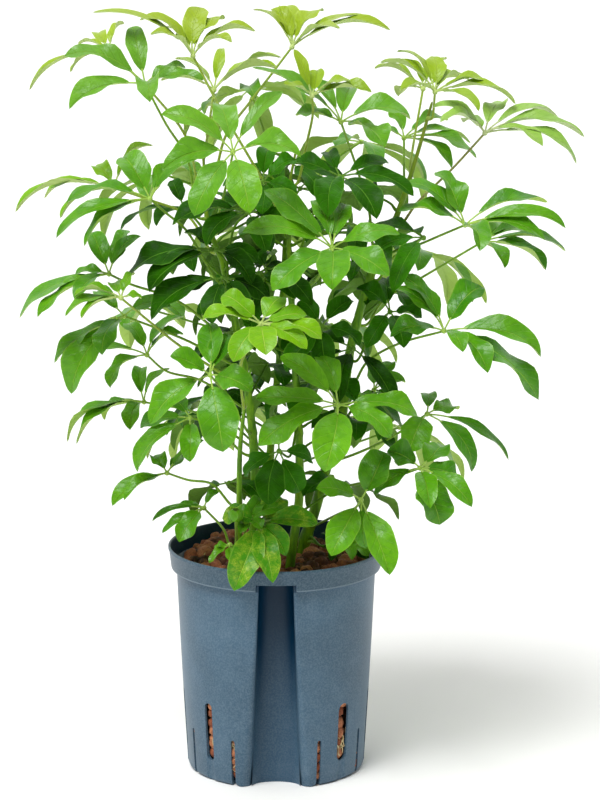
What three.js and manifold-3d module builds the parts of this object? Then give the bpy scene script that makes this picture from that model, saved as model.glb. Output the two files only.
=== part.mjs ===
// Umbrella plant in a hydroculture pot. Millimetres, +Z up, the front (gauge channel) faces -Y.
// The origin is the middle of the pot's underside.
import * as THREE from 'three';
import { mergeVertices } from 'three/addons/utils/BufferGeometryUtils.js';
import Module from 'manifold-3d';

const wasm = await Module();
wasm.setup();

// ---- driving dimensions ----

const pot = {
  height: 190,
  rimRadius: 90,
  lip: 0.6,                 // chamfer of the lip's outer edge
  collarDepth: 19,          // from the lip down to the step
  collarFoot: 88.4,         // radius at the foot of the collar
  step: 1.5,                // height of the slope under the collar
  neckRadius: 83.4,         // body just under the collar
  footRadius: 74.5,
  footEdge: 2.5,            // chamfer round the underside
  wall: 2,
  floor: 3,
  sides: 36,
};

const channel = {           // recess for the water gauge, open at the bottom
  topZ: 178,
  topWidth: 29,
  footWidth: 40,
  depth: 23,
  hollow: 0.55,             // how round its back is: 0 flat, 1 a half circle
};

const slots = {             // short and long drain slots take turns round the wall
  firstAngle: 28,
  step: 18.2,
  count: 9,
  short: { width: 4, low: -2, high: 40 },
  long: { width: 8, low: 20, high: 68 },
  reach: 9,                 // how far a slot cuts in from the outside
};

const bed = {               // expanded clay granules
  top: 167,
  rings: 5,
  margin: 4,                // from the outer ring of granules to the pot's wall
  dome: 6,                  // height of one granule over the gaps round it
  sag: 4,                   // how much lower the outer ring lies than the middle
  edgeDepth: 5,             // where the bed's side begins, below its top
  jitter: 2,
};

const seat = 0.3;           // clearance between pieces that touch
const holeDepth = 42;       // how deep a stem stands in the granules
const holeSlack = 1.2;      // the hole's radius over the stem's
const uprightFoot = 6;      // a stem rises straight this far out of the bed
const stemSteps = 11;
const stalkRadii = [1.7, 1.3];
const stalkGap = 0.55;      // between a leaf stalk's first ring and its stem
const stalkBend = { out: 6, up: 2.5 };
const hubRadius = 4.2;
const stalklet = 0.2;       // share of a leaflet that is its own little stalk
const stalkletRadius = 0.8;
const bladeKeel = 1;        // thickness under the middle of a blade
const bladeFold = 0.08;     // rise of a blade's edges for each millimetre from its rib

const clearance = 2.5;      // between the blades of neighbouring leaves
const potClearance = { inside: 7, outside: 3 };
const sampleSpacing = 3.2;
const swingStep = 4;
const swingLimit = 64;

// Where the plant is looked at from, and the picture's frame of 600 x 800. A place on the plant is given
// as the column and row where it is seen, and how many millimetres nearer than the pot's axis it lies.
const view = {
  distance: 2770,
  height: 922,
  tilt: THREE.MathUtils.degToRad(12.4),
  focal: 3430,
  middleColumn: 276,
  middleRow: 400,
};

const colours = {
  pot: 0x587087,
  clay: 0x7a4a35,
  bark: 0x6f8a2a,
  young: 0xa3c425,
  leaf: 0x4f9a24,
  shade: 0x2f6f1c,
};

// ---- places ----

function seen(column, row, nearer) {
  const rise = (view.middleRow - row) / view.focal;
  const cos = Math.cos(view.tilt);
  const sin = Math.sin(view.tilt);
  const back = view.distance - nearer;
  const drop = back * (rise * cos - sin) / (cos + rise * sin);
  const away = back * cos - drop * sin;
  const x = (column - view.middleColumn) * away / view.focal;
  return new THREE.Vector3(x, -nearer, view.height + drop);
}

function pictured(point) {
  const cos = Math.cos(view.tilt);
  const sin = Math.sin(view.tilt);
  const back = view.distance + point.y;
  const drop = point.z - view.height;
  const away = back * cos - drop * sin;
  const column = view.middleColumn + view.focal * point.x / away;
  const row = view.middleRow - view.focal * (back * sin + drop * cos) / away;
  return [column, row];
}

function seededDraws(seed) {
  let state = seed;
  return () => {
    state = (state * 16807) % 2147483647;
    return state / 2147483647;
  };
}

// ---- closed meshes ----

function solidFrom(points, triangles) {
  let volume = 0;
  for (const [a, b, c] of triangles) {
    volume += points[a].dot(points[b].clone().cross(points[c]));
  }
  const faces = volume < 0 ? triangles.map(([a, b, c]) => [a, c, b]) : triangles;
  const geometry = new THREE.BufferGeometry().setFromPoints(points);
  geometry.setIndex(faces.flat());
  return geometry;
}

// A skin over rings of points, closed at both ends. The last ring may be a single point.
function loft(rings) {
  const points = rings.flat();
  const triangles = [];
  const count = rings[0].length;
  for (let i = 1; i < count - 1; i += 1) {
    triangles.push([0, i + 1, i]);
  }
  let start = 0;
  for (let r = 1; r < rings.length; r += 1) {
    const next = start + count;
    const single = rings[r].length === 1;
    for (let i = 0; i < count; i += 1) {
      const j = (i + 1) % count;
      triangles.push([start + i, start + j, single ? next : next + j]);
      if (!single) {
        triangles.push([start + i, next + j, next + i]);
      }
    }
    start = next;
  }
  if (rings[rings.length - 1].length > 1) {
    for (let i = 1; i < count - 1; i += 1) {
      triangles.push([start, start + i, start + i + 1]);
    }
  }
  return solidFrom(points, triangles);
}

function toManifold(geometry) {
  const bare = geometry.clone();
  bare.deleteAttribute('normal');
  bare.deleteAttribute('uv');
  const merged = mergeVertices(bare, 1e-4);
  return new wasm.Manifold(new wasm.Mesh({
    numProp: 3,
    vertProperties: new Float32Array(merged.attributes.position.array),
    triVerts: new Uint32Array(merged.index.array),
  }));
}

function toGeometry(solid) {
  const mesh = solid.getMesh();
  const geometry = new THREE.BufferGeometry();
  geometry.setAttribute('position', new THREE.BufferAttribute(mesh.vertProperties, 3));
  geometry.setIndex(new THREE.BufferAttribute(mesh.triVerts, 1));
  return geometry;
}

function joined(geometries) {
  const solids = geometries.map(toManifold);
  return toGeometry(solids.reduce((whole, solid) => whole.add(solid)));
}

// A lathe's profile as [radius, height] pairs, turned so that its axis is +Z.
function turned(profile) {
  const outline = profile.map(([radius, z]) => new THREE.Vector2(radius, z));
  const lathe = new THREE.LatheGeometry(outline, pot.sides);
  lathe.rotateX(Math.PI / 2);
  return toManifold(lathe);
}

// ---- pot ----

function wallRadius(z) {
  const neckZ = pot.height - pot.collarDepth;
  return THREE.MathUtils.mapLinear(z, 0, neckZ, pot.footRadius, pot.neckRadius);
}

function innerRadius(z) {
  return wallRadius(z) - pot.wall;
}

function channelSolid(extra, low, high) {
  const section = (width, z) => {
    const half = width / 2 + extra;
    const backY = -wallRadius(z) + channel.depth + extra;
    const mouthY = -pot.rimRadius * 1.2;
    const points = [new THREE.Vector3(-half, mouthY, z), new THREE.Vector3(half, mouthY, z)];
    for (const turn of [0, 30, 60, 90, 120, 150, 180]) {
      const angle = THREE.MathUtils.degToRad(turn);
      const y = backY - half * channel.hollow * (1 - Math.sin(angle));
      points.push(new THREE.Vector3(half * Math.cos(angle), y, z));
    }
    return points;
  };
  return toManifold(loft([section(channel.footWidth, low), section(channel.topWidth, high)]));
}

function slotSolid(slot, degrees) {
  const half = slot.width / 2;
  const outline = new THREE.Shape();
  outline.moveTo(-half, slot.low);
  outline.lineTo(half, slot.low);
  outline.lineTo(half, slot.high - half);
  outline.absarc(0, slot.high - half, half, 0, Math.PI, false);
  const cut = new THREE.ExtrudeGeometry(outline, {
    depth: slots.reach + 10,
    bevelEnabled: false,
    curveSegments: 3,
  });
  cut.rotateX(Math.PI / 2);
  cut.translate(0, -pot.footRadius + slots.reach, 0);
  cut.rotateZ(THREE.MathUtils.degToRad(degrees));
  return toManifold(cut);
}

function makePot() {
  const neckZ = pot.height - pot.collarDepth;
  const outside = turned([
    [0, 0],
    [pot.footRadius - pot.footEdge, 0],
    [pot.footRadius, pot.footEdge],
    [pot.neckRadius, neckZ],
    [pot.collarFoot, neckZ + pot.step],
    [pot.rimRadius, pot.height - 2 * pot.lip],
    [pot.rimRadius - pot.lip, pot.height],
    [0, pot.height],
  ]);
  const inside = turned([
    [0, pot.floor],
    [innerRadius(pot.floor), pot.floor],
    [innerRadius(neckZ), neckZ],
    [pot.collarFoot - pot.wall, neckZ + pot.step + pot.wall],
    [pot.rimRadius - pot.wall, pot.height + 1],
    [0, pot.height + 1],
  ]);
  const hollow = inside.subtract(channelSolid(pot.wall, pot.floor - 1, channel.topZ + pot.wall));
  let body = outside.subtract(hollow).subtract(channelSolid(0, -1, channel.topZ));
  for (let i = 0; i < slots.count; i += 1) {
    const slot = i % 2 === 0 ? slots.short : slots.long;
    const angle = slots.firstAngle + i * slots.step;
    body = body.subtract(slotSolid(slot, angle)).subtract(slotSolid(slot, -angle));
  }
  return toGeometry(body);
}

// ---- granule bed ----

// The top is a round patch of domed granules: ring k holds 6k of them, and the low points between
// neighbours are the gaps. The side follows the pot's inner wall.
function bedBlank() {
  const draw = seededDraws(41);
  const wallAt = (z) => innerRadius(z) - seat;
  const pitch = (wallAt(bed.top) - bed.margin) / (bed.rings + 0.45);
  const points = [];
  const centres = [];
  for (let ring = 0; ring <= bed.rings; ring += 1) {
    const row = [];
    const count = Math.max(1, 6 * ring);
    for (let i = 0; i < count; i += 1) {
      const angle = 2 * Math.PI * i / count;
      const radius = ring === 0 ? 0 : ring * pitch + (2 * draw() - 1) * bed.jitter;
      const z = bed.top + bed.dome * (0.65 + 0.35 * draw()) - bed.sag * (ring / bed.rings) ** 2;
      row.push(points.length);
      points.push(new THREE.Vector3(radius * Math.cos(angle), radius * Math.sin(angle), z));
    }
    centres.push(row);
  }
  const cornerCount = 6 * bed.rings;
  const rim = [];
  const foot = [];
  for (let i = 0; i < cornerCount; i += 1) {
    const angle = 2 * Math.PI * i / cornerCount;
    for (const [row, z] of [[rim, bed.top - bed.edgeDepth], [foot, pot.floor + seat]]) {
      row.push(points.length);
      points.push(new THREE.Vector3(wallAt(z) * Math.cos(angle), wallAt(z) * Math.sin(angle), z));
    }
  }
  const triangles = [];
  const middles = new Map();
  const low = (...corners) => {
    const key = [...corners].sort((a, b) => a - b).join();
    if (!middles.has(key)) {
      const middle = new THREE.Vector3();
      corners.forEach((corner) => middle.addScaledVector(points[corner], 1 / corners.length));
      middle.z -= corners.length === 2 ? bed.dome * 0.8 : bed.dome * 1.1;
      middles.set(key, points.length);
      points.push(middle);
    }
    return middles.get(key);
  };
  const granules = (a, b, c) => {
    const deep = low(a, b, c);
    for (const [p, q] of [[a, b], [b, c], [c, a]]) {
      const between = low(p, q);
      triangles.push([p, between, deep], [between, q, deep]);
    }
  };
  for (let ring = 0; ring < bed.rings; ring += 1) {
    const inner = centres[ring];
    const outer = centres[ring + 1];
    for (let sector = 0; sector < 6; sector += 1) {
      const innerAt = (k) => inner[(sector * ring + k) % inner.length];
      const outerAt = (k) => outer[(sector * (ring + 1) + k) % outer.length];
      for (let k = 0; k <= ring; k += 1) {
        granules(innerAt(k), outerAt(k), outerAt(k + 1));
        if (k < ring) {
          granules(innerAt(k), outerAt(k + 1), innerAt(k + 1));
        }
      }
    }
  }
  const last = centres[bed.rings];
  const middle = points.length;
  points.push(new THREE.Vector3(0, 0, pot.floor + seat));
  for (let i = 0; i < cornerCount; i += 1) {
    const j = (i + 1) % cornerCount;
    const between = low(last[i], last[j]);
    triangles.push([last[i], rim[i], between], [between, rim[i], rim[j]], [between, rim[j], last[j]]);
    triangles.push([rim[i], foot[i], foot[j]], [rim[i], foot[j], rim[j]], [foot[i], middle, foot[j]]);
  }
  return toManifold(solidFrom(points, triangles));
}

function makeBed(stems) {
  let clay = bedBlank();
  clay = clay.subtract(channelSolid(pot.wall + seat, -1, pot.height));
  const holeHeight = 2 * holeDepth;
  for (const stem of stems) {
    const radius = stem.radii[0] + holeSlack;
    const hole = new THREE.CylinderGeometry(radius, radius, holeHeight, 8);
    hole.rotateX(Math.PI / 2);
    hole.translate(stem.points[0].x, stem.points[0].y, bed.top - holeDepth + holeHeight / 2);
    clay = clay.subtract(toManifold(hole));
  }
  return toGeometry(clay);
}

// ---- stems ----

// Each stem: where it is seen from its foot to its top, and its radius there.
const stemRoutes = {
  stem_main: {
    route: [[302, 560, -30], [316, 506, -28], [331, 450, -24], [343, 408, -20], [348, 362, -16],
      [357, 322, -12], [371, 275, -8], [386, 243, -4], [405, 193, 0], [420, 145, 2], [431, 106, 4]],
    radii: [5.4, 2.2],
  },
  stem_left: {
    route: [[252, 567, 5], [255, 500, 6], [254, 450, 8], [246, 380, 10], [235, 320, 10], [222, 262, 8],
      [208, 225, 6], [205, 190, 4], [203, 146, 2]],
    radii: [4.6, 1.9],
  },
  stem_young: {
    route: [[236, 575, 22], [239, 530, 26], [240, 450, 34], [245, 405, 44], [250, 372, 56]],
    radii: [3.4, 2],
  },
  stem_middle: {
    route: [[290, 572, 12], [299, 500, 6], [299, 440, 2], [296, 380, 0], [292, 310, 0], [289, 243, 0],
      [289, 190, -2], [296, 150, -6]],
    radii: [4.4, 1.9],
  },
  stem_rear: {
    route: [[270, 552, -46], [268, 500, -56], [272, 430, -66], [280, 350, -72], [284, 270, -78],
      [286, 200, -82], [282, 140, -78]],
    radii: [4.2, 2],
  },
};

function stemFrom(name) {
  const { route, radii } = stemRoutes[name];
  const above = route.map((place) => seen(...place));
  const foot = above[0].clone();
  foot.z = bed.top - holeDepth + seat;
  const mouth = above[0].clone();
  mouth.z = bed.top + uprightFoot;
  const points = [foot, mouth, ...above.slice(1)];
  return { name, points, radii, curve: new THREE.CatmullRomCurve3(points, false, 'centripetal') };
}

// A closed tapering tube with a ring of corners at each of the stops, which run from 0 to 1.
function tube(curve, stops, sides, [thick, thin]) {
  const normal = new THREE.Vector3(0.6, 0.8, 0);
  const rings = stops.map((stop) => {
    const centre = curve.getPoint(stop);
    const along = curve.getTangent(stop);
    normal.addScaledVector(along, -normal.dot(along)).normalize();
    const across = new THREE.Vector3().crossVectors(along, normal);
    const radius = THREE.MathUtils.lerp(thick, thin, stop);
    const ring = [];
    for (let k = 0; k < sides; k += 1) {
      const angle = 2 * Math.PI * k / sides;
      const corner = centre.clone().addScaledVector(normal, radius * Math.cos(angle));
      ring.push(corner.addScaledVector(across, radius * Math.sin(angle)));
    }
    return ring;
  });
  return loft(rings);
}

// Stops at 0, at the curve's second point and evenly from there to 1.
function stopsFor(curve, steps) {
  const first = 1 / (curve.points.length - 1);
  const rest = Array.from({ length: steps }, (_, i) => first + (1 - first) * i / (steps - 1));
  return [0, ...rest];
}

function makeStem(stem) {
  return tube(stem.curve, stopsFor(stem.curve, stemSteps), 6, stem.radii);
}

function stemAt(stem, z) {
  const stops = stopsFor(stem.curve, stemSteps);
  const spine = stops.map((stop) => stem.curve.getPoint(stop));
  const i = spine.findIndex((point) => point.z > z);
  const share = (z - spine[i - 1].z) / (spine[i].z - spine[i - 1].z);
  const centre = spine[i - 1].clone().lerp(spine[i], share);
  const along = spine[i].clone().sub(spine[i - 1]).normalize();
  const stop = THREE.MathUtils.lerp(stops[i - 1], stops[i], share);
  return { centre, along, radius: THREE.MathUtils.lerp(stem.radii[0], stem.radii[1], stop) };
}

// ---- leaves ----

// on: the stem and the height where the leaf stalk leaves it. stalk: where the stalk is seen on its way
// to the hub. faces: how far the upper side leans to the right and to the viewer, against 1 upwards.
// blades: where each tip is seen, how much nearer than the hub it lies, and the blade's width.
const leaves = {
  leaf_front_left: {
    tone: 'leaf', on: ['stem_left', 452], stalk: [[226, 186, 62]], hub: [233, 152, 100],
    faces: [0, 0.75], arch: 0.13,
    blades: [[250, 213, 40, 29], [194, 216, 32, 25], [163, 169, 16, 21], [161, 114, 0, 19],
      [219, 104, -42, 26], [283, 91, -32, 21], [301, 157, 22, 22]],
  },
  leaf_front_middle: {
    tone: 'leaf', on: ['stem_middle', 400], stalk: [[318, 278, 60]], hub: [332, 248, 95],
    faces: [0, 0.75], arch: 0.14,
    blades: [[332, 290, 50, 30], [272, 291, 32, 27], [242, 232, 14, 23], [264, 190, -14, 23],
      [313, 200, -40, 21], [345, 204, -44, 24], [400, 234, 6, 20], [389, 276, 32, 25]],
  },
  leaf_front_low: {
    tone: 'leaf', on: ['stem_main', 262], stalk: [[329, 436, 62]], hub: [338, 405, 92],
    faces: [0, 0.8], arch: 0.16,
    blades: [[325, 472, 44, 32], [258, 446, 22, 27], [255, 399, 2, 20], [280, 356, -22, 25],
      [318, 357, -34, 23], [418, 416, -4, 22], [391, 438, 22, 21]],
  },
  leaf_front_lower_left: {
    tone: 'leaf', on: ['stem_left', 288], stalk: [[227, 396, 58]], hub: [210, 375, 98],
    faces: [-0.15, 0.8], arch: 0.12,
    blades: [[223, 452, 34, 33], [150, 424, 18, 24], [170, 356, 8, 19], [209, 323, -30, 21],
      [228, 334, -26, 19], [252, 391, 28, 25]],
  },
  leaf_young_front: {
    tone: 'young', on: ['stem_young', 318], stalk: [[241, 364, 84], [251, 345, 106]],
    hub: [261, 324, 124], faces: [0, 0.6], arch: 0.16,
    blades: [[266, 355, 38, 23], [202, 320, 2, 19], [222, 295, -14, 21], [282, 297, -18, 19],
      [307, 315, 0, 18], [322, 339, 12, 18], [307, 349, 24, 17], [233, 362, 28, 20]],
  },
  leaf_right_low: {
    tone: 'leaf', on: ['stem_main', 232], stalk: [[376, 480, 20], [400, 475, 50]],
    hub: [420, 468, 72], faces: [0.1, 0.75], arch: 0.12,
    blades: [[430, 508, 44, 19], [472, 507, 24, 22], [457, 478, -8, 18], [441, 446, -30, 22],
      [387, 451, -2, 22], [374, 494, 4, 15], [440, 525, 18, 30]],
  },
  leaf_low_middle: {
    tone: 'leaf', on: ['stem_main', 200], stalk: [[343, 512, 40], [355, 508, 62]],
    hub: [361, 500, 82], faces: [0, 0.85], arch: 0.1,
    blades: [[331, 556, 34, 28], [390, 575, 36, 28], [385, 452, -16, 30], [316, 488, 8, 21],
      [365, 548, 4, 15]],
  },
  leaf_over_rim: {
    tone: 'leaf', on: ['stem_left', 192], stalk: [[255, 540, 30]], hub: [259, 523, 48],
    faces: [0, 0.9], arch: 0.17,
    blades: [[234, 591, 50, 29], [273, 583, 50, 26], [286, 556, 28, 19], [257, 557, 20, 12],
      [222, 518, 2, 22], [283, 498, -14, 22], [318, 524, 6, 20]],
  },
  leaf_right_long: {
    tone: 'leaf', on: ['stem_main', 322], stalk: [[367, 362, 4], [398, 344, 26]],
    hub: [444, 331, 48], faces: [0.2, 0.6], arch: 0.16,
    blades: [[541, 357, 8, 23], [539, 400, 14, 25], [488, 373, 34, 25], [463, 352, 38, 20],
      [483, 287, -22, 24], [401, 275, -20, 21], [388, 287, -8, 20], [390, 337, 12, 22]],
  },
  leaf_right_upper: {
    tone: 'leaf', on: ['stem_main', 414], stalk: [[394, 257, 8], [430, 240, 26]],
    hub: [465, 225, 42], faces: [0.1, 0.65], arch: 0.14,
    blades: [[480, 251, 46, 23], [566, 228, 4, 20], [548, 202, -16, 20], [436, 172, -34, 20],
      [406, 182, -16, 22], [398, 211, 2, 20], [545, 240, 22, 18]],
  },
  leaf_right_inner: {
    tone: 'leaf', on: ['stem_main', 374], stalk: [[383, 301, -14], [421, 278, -20]],
    hub: [482, 242, -22], faces: [0.2, 0.5], arch: 0.14,
    blades: [[566, 251, 6, 18], [546, 270, 20, 20], [505, 268, 34, 16], [505, 226, -36, 20],
      [532, 234, -26, 20]],
  },
  leaf_right_top: {
    tone: 'leaf', on: ['stem_main', 462], stalk: [[417, 203, 14], [452, 169, 20]],
    hub: [485, 133, 24], faces: [0.15, 0.55], arch: 0.18,
    blades: [[585, 137, 0, 18], [577, 164, 12, 20], [543, 146, 30, 18], [559, 119, -14, 16],
      [506, 103, -34, 18], [463, 122, -24, 16], [432, 107, -8, 18], [440, 122, 20, 16]],
  },
  leaf_crown_main: {
    tone: 'young', on: ['stem_main', 548], stalk: [], hub: [435, 92, 14],
    faces: [0, 0.4], arch: 0.15,
    blades: [[516, 104, 8, 16], [479, 111, 34, 18], [401, 90, 26, 16], [380, 62, -8, 15],
      [397, 51, -18, 16], [434, 56, -26, 18], [460, 75, -20, 14], [489, 84, -8, 15]],
  },
  leaf_crown_rear: {
    tone: 'young', on: ['stem_main', 496], stalk: [[411, 160, -22]], hub: [423, 89, -48],
    faces: [-0.1, 0.3], arch: 0.14,
    blades: [[408, 60, -12, 15], [447, 58, -16, 16], [374, 68, -6, 15], [470, 79, -4, 15],
      [398, 96, -34, 15]],
  },
  leaf_behind_right: {
    tone: 'leaf', on: ['stem_main', 484], stalk: [[404, 168, -26]], hub: [404, 138, -48],
    faces: [0.1, 0.4], arch: 0.16,
    blades: [[477, 158, 4, 20], [471, 143, -12, 20], [448, 120, -26, 18], [372, 132, -10, 18],
      [388, 110, -26, 18], [452, 168, 18, 18]],
  },
  leaf_upper_middle: {
    tone: 'shade', on: ['stem_middle', 436], stalk: [[316, 208, 8]], hub: [340, 177, 26],
    faces: [0, 0.65], arch: 0.15,
    blades: [[328, 217, 40, 25], [377, 219, 36, 25], [414, 196, 10, 22], [389, 163, -26, 22],
      [328, 152, -34, 20], [291, 163, -14, 20]],
  },
  leaf_upper_side: {
    tone: 'leaf', on: ['stem_main', 436], stalk: [[369, 210, 2], [359, 175, 6]], hub: [341, 122, 12],
    faces: [0.1, 0.5], arch: 0.15,
    blades: [[385, 147, 36, 30], [411, 119, -4, 26], [295, 115, 14, 20], [252, 67, -10, 18],
      [294, 76, -24, 18], [352, 88, -36, 18]],
  },
  leaf_young_upper: {
    tone: 'young', on: ['stem_middle', 492], stalk: [[307, 142, 10], [313, 112, 30]],
    hub: [312, 96, 38], faces: [0, 0.5], arch: 0.12,
    blades: [[351, 81, 8, 15], [372, 92, 10, 15], [317, 70, -18, 14], [294, 49, -12, 10],
      [284, 84, 14, 14]],
  },
  leaf_top: {
    tone: 'young', on: ['stem_left', 496], stalk: [[226, 135, -6], [250, 102, -4], [270, 76, 0]],
    hub: [292, 47, 2], faces: [0, 0.35], arch: 0.16,
    blades: [[391, 30, 4, 17], [371, 17, -8, 16], [340, 28, 26, 16], [324, 10, -14, 15],
      [271, 9, -20, 15], [253, 9, -4, 15], [283, 7, -34, 15]],
  },
  leaf_top_left: {
    tone: 'young', on: ['stem_middle', 470], stalk: [[266, 186, 2], [245, 150, 8], [218, 104, 12]],
    hub: [193, 56, 16], faces: [0, 0.35], arch: 0.18,
    blades: [[92, 12, -8, 18], [139, 20, -14, 15], [164, 28, -26, 14], [201, 7, -30, 15],
      [225, 18, -18, 15], [256, 31, -4, 16], [150, 34, 14, 14], [232, 42, 20, 15]],
  },
  leaf_left_upper: {
    tone: 'leaf', on: ['stem_left', 466], stalk: [[188, 160, 12], [166, 124, 18]],
    hub: [145, 84, 22], faces: [-0.1, 0.6], arch: 0.13,
    blades: [[150, 102, 52, 20], [69, 109, 14, 22], [64, 56, -6, 21], [133, 26, -30, 19],
      [186, 67, -10, 17], [204, 80, 10, 16]],
  },
  leaf_left_young: {
    tone: 'young', on: ['stem_left', 488], stalk: [[187, 139, -14], [155, 96, -30]],
    hub: [109, 50, -40], faces: [-0.2, 0.2], arch: 0.14,
    blades: [[29, 90, 8, 15], [70, 72, 18, 15], [99, 34, -34, 16], [124, 23, -22, 15],
      [78, 44, -12, 15]],
  },
  leaf_crown_left: {
    tone: 'young', on: ['stem_left', 516], stalk: [[210, 118, -40]], hub: [214, 90, -58],
    faces: [0.1, 0.3], arch: 0.15,
    blades: [[282, 57, -8, 18], [278, 68, 8, 18], [175, 58, -12, 17], [160, 80, 6, 16],
      [222, 48, -30, 17]],
  },
  leaf_inner_olive: {
    tone: 'shade', on: ['stem_middle', 450], stalk: [[276, 198, 24]], hub: [263, 182, 36],
    faces: [0.1, 0.5], arch: 0.14,
    blades: [[262, 214, 30, 22], [296, 160, -14, 18], [268, 150, -30, 20], [222, 186, -4, 20],
      [296, 196, 14, 20]],
  },
  leaf_inner_left: {
    tone: 'shade', on: ['stem_left', 424], stalk: [[234, 228, 34]], hub: [248, 212, 52],
    faces: [-0.1, 0.6], arch: 0.14,
    blades: [[172, 225, 12, 24], [206, 246, 30, 22], [266, 252, 30, 22], [290, 226, 6, 20],
      [222, 196, -24, 20]],
  },
  leaf_inner_dark: {
    tone: 'shade', on: ['stem_left', 400], stalk: [[226, 262, 28]], hub: [216, 250, 40],
    faces: [-0.2, 0.5], arch: 0.15,
    blades: [[124, 281, 4, 23], [149, 292, 20, 22], [184, 232, -26, 20], [252, 284, 26, 22],
      [258, 262, 2, 20]],
  },
  leaf_inner_low: {
    tone: 'shade', on: ['stem_left', 372], stalk: [[228, 292, 36]], hub: [223, 278, 56],
    faces: [-0.1, 0.6], arch: 0.15,
    blades: [[212, 324, 28, 23], [151, 320, 10, 23], [180, 296, -4, 20], [270, 302, 18, 22],
      [248, 322, 34, 20]],
  },
  leaf_left_wide: {
    tone: 'leaf', on: ['stem_left', 414], stalk: [[186, 230, 30], [166, 213, 46]],
    hub: [150, 199, 56], faces: [-0.15, 0.6], arch: 0.14,
    blades: [[66, 203, 4, 19], [56, 238, 14, 21], [84, 246, 26, 19], [123, 157, -26, 26],
      [181, 163, -20, 15], [197, 159, -6, 12]],
  },
  leaf_left_far: {
    tone: 'young', on: ['stem_left', 438], stalk: [[188, 216, -12], [150, 200, -6]],
    hub: [114, 188, 0], faces: [-0.25, 0.4], arch: 0.16,
    blades: [[15, 212, 4, 17], [44, 198, -12, 16], [60, 218, 24, 15], [95, 166, -26, 16],
      [153, 145, -18, 14]],
  },
  leaf_left_inner: {
    tone: 'shade', on: ['stem_left', 448], stalk: [[196, 220, -24]], hub: [184, 208, -34],
    faces: [-0.1, 0.2], arch: 0.14,
    blades: [[120, 230, 6, 18], [156, 226, 24, 16], [172, 180, -22, 16], [230, 206, -10, 18]],
  },
  leaf_left_tip: {
    tone: 'leaf', on: ['stem_left', 366], stalk: [[176, 300, 24], [130, 284, 34]],
    hub: [109, 274, 38], faces: [-0.15, 0.6], arch: 0.15,
    blades: [[19, 318, 8, 21], [37, 317, 22, 20], [76, 302, 34, 18], [75, 274, -4, 14],
      [92, 232, -24, 20], [128, 230, -22, 18], [141, 236, -6, 14]],
  },
  leaf_left_lime: {
    tone: 'young', on: ['stem_left', 330], stalk: [[180, 346, 44], [150, 322, 62]],
    hub: [121, 298, 72], faces: [-0.15, 0.4], arch: 0.15,
    blades: [[65, 316, 10, 16], [81, 318, 24, 15], [74, 296, -8, 14], [115, 284, -30, 14],
      [134, 274, -18, 11], [142, 298, 2, 12]],
  },
  leaf_left_broad: {
    tone: 'leaf', on: ['stem_left', 344], stalk: [[190, 342, 10], [156, 328, 14]],
    hub: [124, 316, 18], faces: [-0.2, 0.7], arch: 0.16,
    blades: [[54, 363, 4, 23], [71, 394, 18, 28], [102, 355, 36, 22], [171, 306, -4, 20],
      [96, 292, -30, 18]],
  },
  leaf_left_arch: {
    tone: 'leaf', on: ['stem_left', 308], stalk: [[200, 380, -10], [166, 371, -14]],
    hub: [147, 355, -16], faces: [-0.15, 0.5], arch: 0.2,
    blades: [[75, 367, 4, 18], [110, 388, 24, 20], [125, 324, -22, 18], [184, 316, -20, 18],
      [184, 334, -2, 16]],
  },
  leaf_left_low: {
    tone: 'leaf', on: ['stem_left', 276], stalk: [[200, 414, -20]], hub: [144, 402, -40],
    faces: [-0.2, 0.5], arch: 0.2,
    blades: [[67, 442, 2, 16], [76, 444, 16, 16], [104, 420, -6, 16], [130, 430, 32, 18],
      [142, 368, -30, 16], [170, 368, -12, 14]],
  },
  leaf_left_hanging: {
    tone: 'leaf', on: ['stem_left', 268], stalk: [[212, 424, 10]], hub: [190, 418, 16],
    faces: [-0.2, 0.7], arch: 0.14,
    blades: [[137, 472, 18, 25], [140, 428, -4, 20], [190, 462, 30, 18], [172, 398, -26, 16]],
  },
  leaf_lowest_left: {
    tone: 'leaf', on: ['stem_young', 228], stalk: [[212, 484, 18], [188, 480, 8]],
    hub: [167, 473, 0], faces: [-0.2, 0.6], arch: 0.13,
    blades: [[112, 506, 12, 19], [124, 500, 28, 14], [153, 456, -16, 16], [190, 456, -20, 16],
      [204, 440, -8, 10]],
  },
  leaf_rim_left: {
    tone: 'leaf', on: ['stem_young', 190], stalk: [[224, 530, 14]], hub: [204, 508, 4],
    faces: [-0.2, 0.7], arch: 0.14,
    blades: [[219, 490, -12, 10], [178, 506, -8, 9], [152, 521, 2, 10], [162, 533, 12, 11],
      [179, 542, 28, 20]],
  },
  leaf_rim_right: {
    tone: 'leaf', on: ['stem_main', 186], stalk: [[332, 548, 8]], hub: [346, 536, 16],
    faces: [0.1, 0.8], arch: 0.14,
    blades: [[369, 556, 16, 11], [359, 516, -16, 12], [352, 560, 30, 12]],
  },
  leaf_hanging_middle: {
    tone: 'shade', on: ['stem_middle', 286], stalk: [[290, 456, 34]], hub: [279, 451, 58],
    faces: [0, 0.9], arch: 0.1,
    blades: [[268, 505, 26, 26], [300, 492, -4, 24], [244, 476, -10, 18], [312, 462, -24, 18],
      [282, 426, -26, 18]],
  },
  leaf_right_small: {
    tone: 'leaf', on: ['stem_main', 296], stalk: [[360, 398, 6]], hub: [374, 390, 16],
    faces: [0.1, 0.5], arch: 0.13,
    blades: [[406, 382, -8, 16], [392, 362, -24, 16], [366, 356, -26, 16], [396, 404, 22, 18],
      [360, 408, 26, 16]],
  },
  leaf_right_hanging: {
    tone: 'leaf', on: ['stem_main', 258], stalk: [[360, 452, 0], [390, 438, 6]],
    hub: [427, 414, 10], faces: [0.2, 0.6], arch: 0.16,
    blades: [[509, 460, -6, 11], [472, 472, 16, 22], [409, 452, 26, 26], [454, 408, -22, 18],
      [428, 394, -34, 14]],
  },
  leaf_shade_right: {
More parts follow.
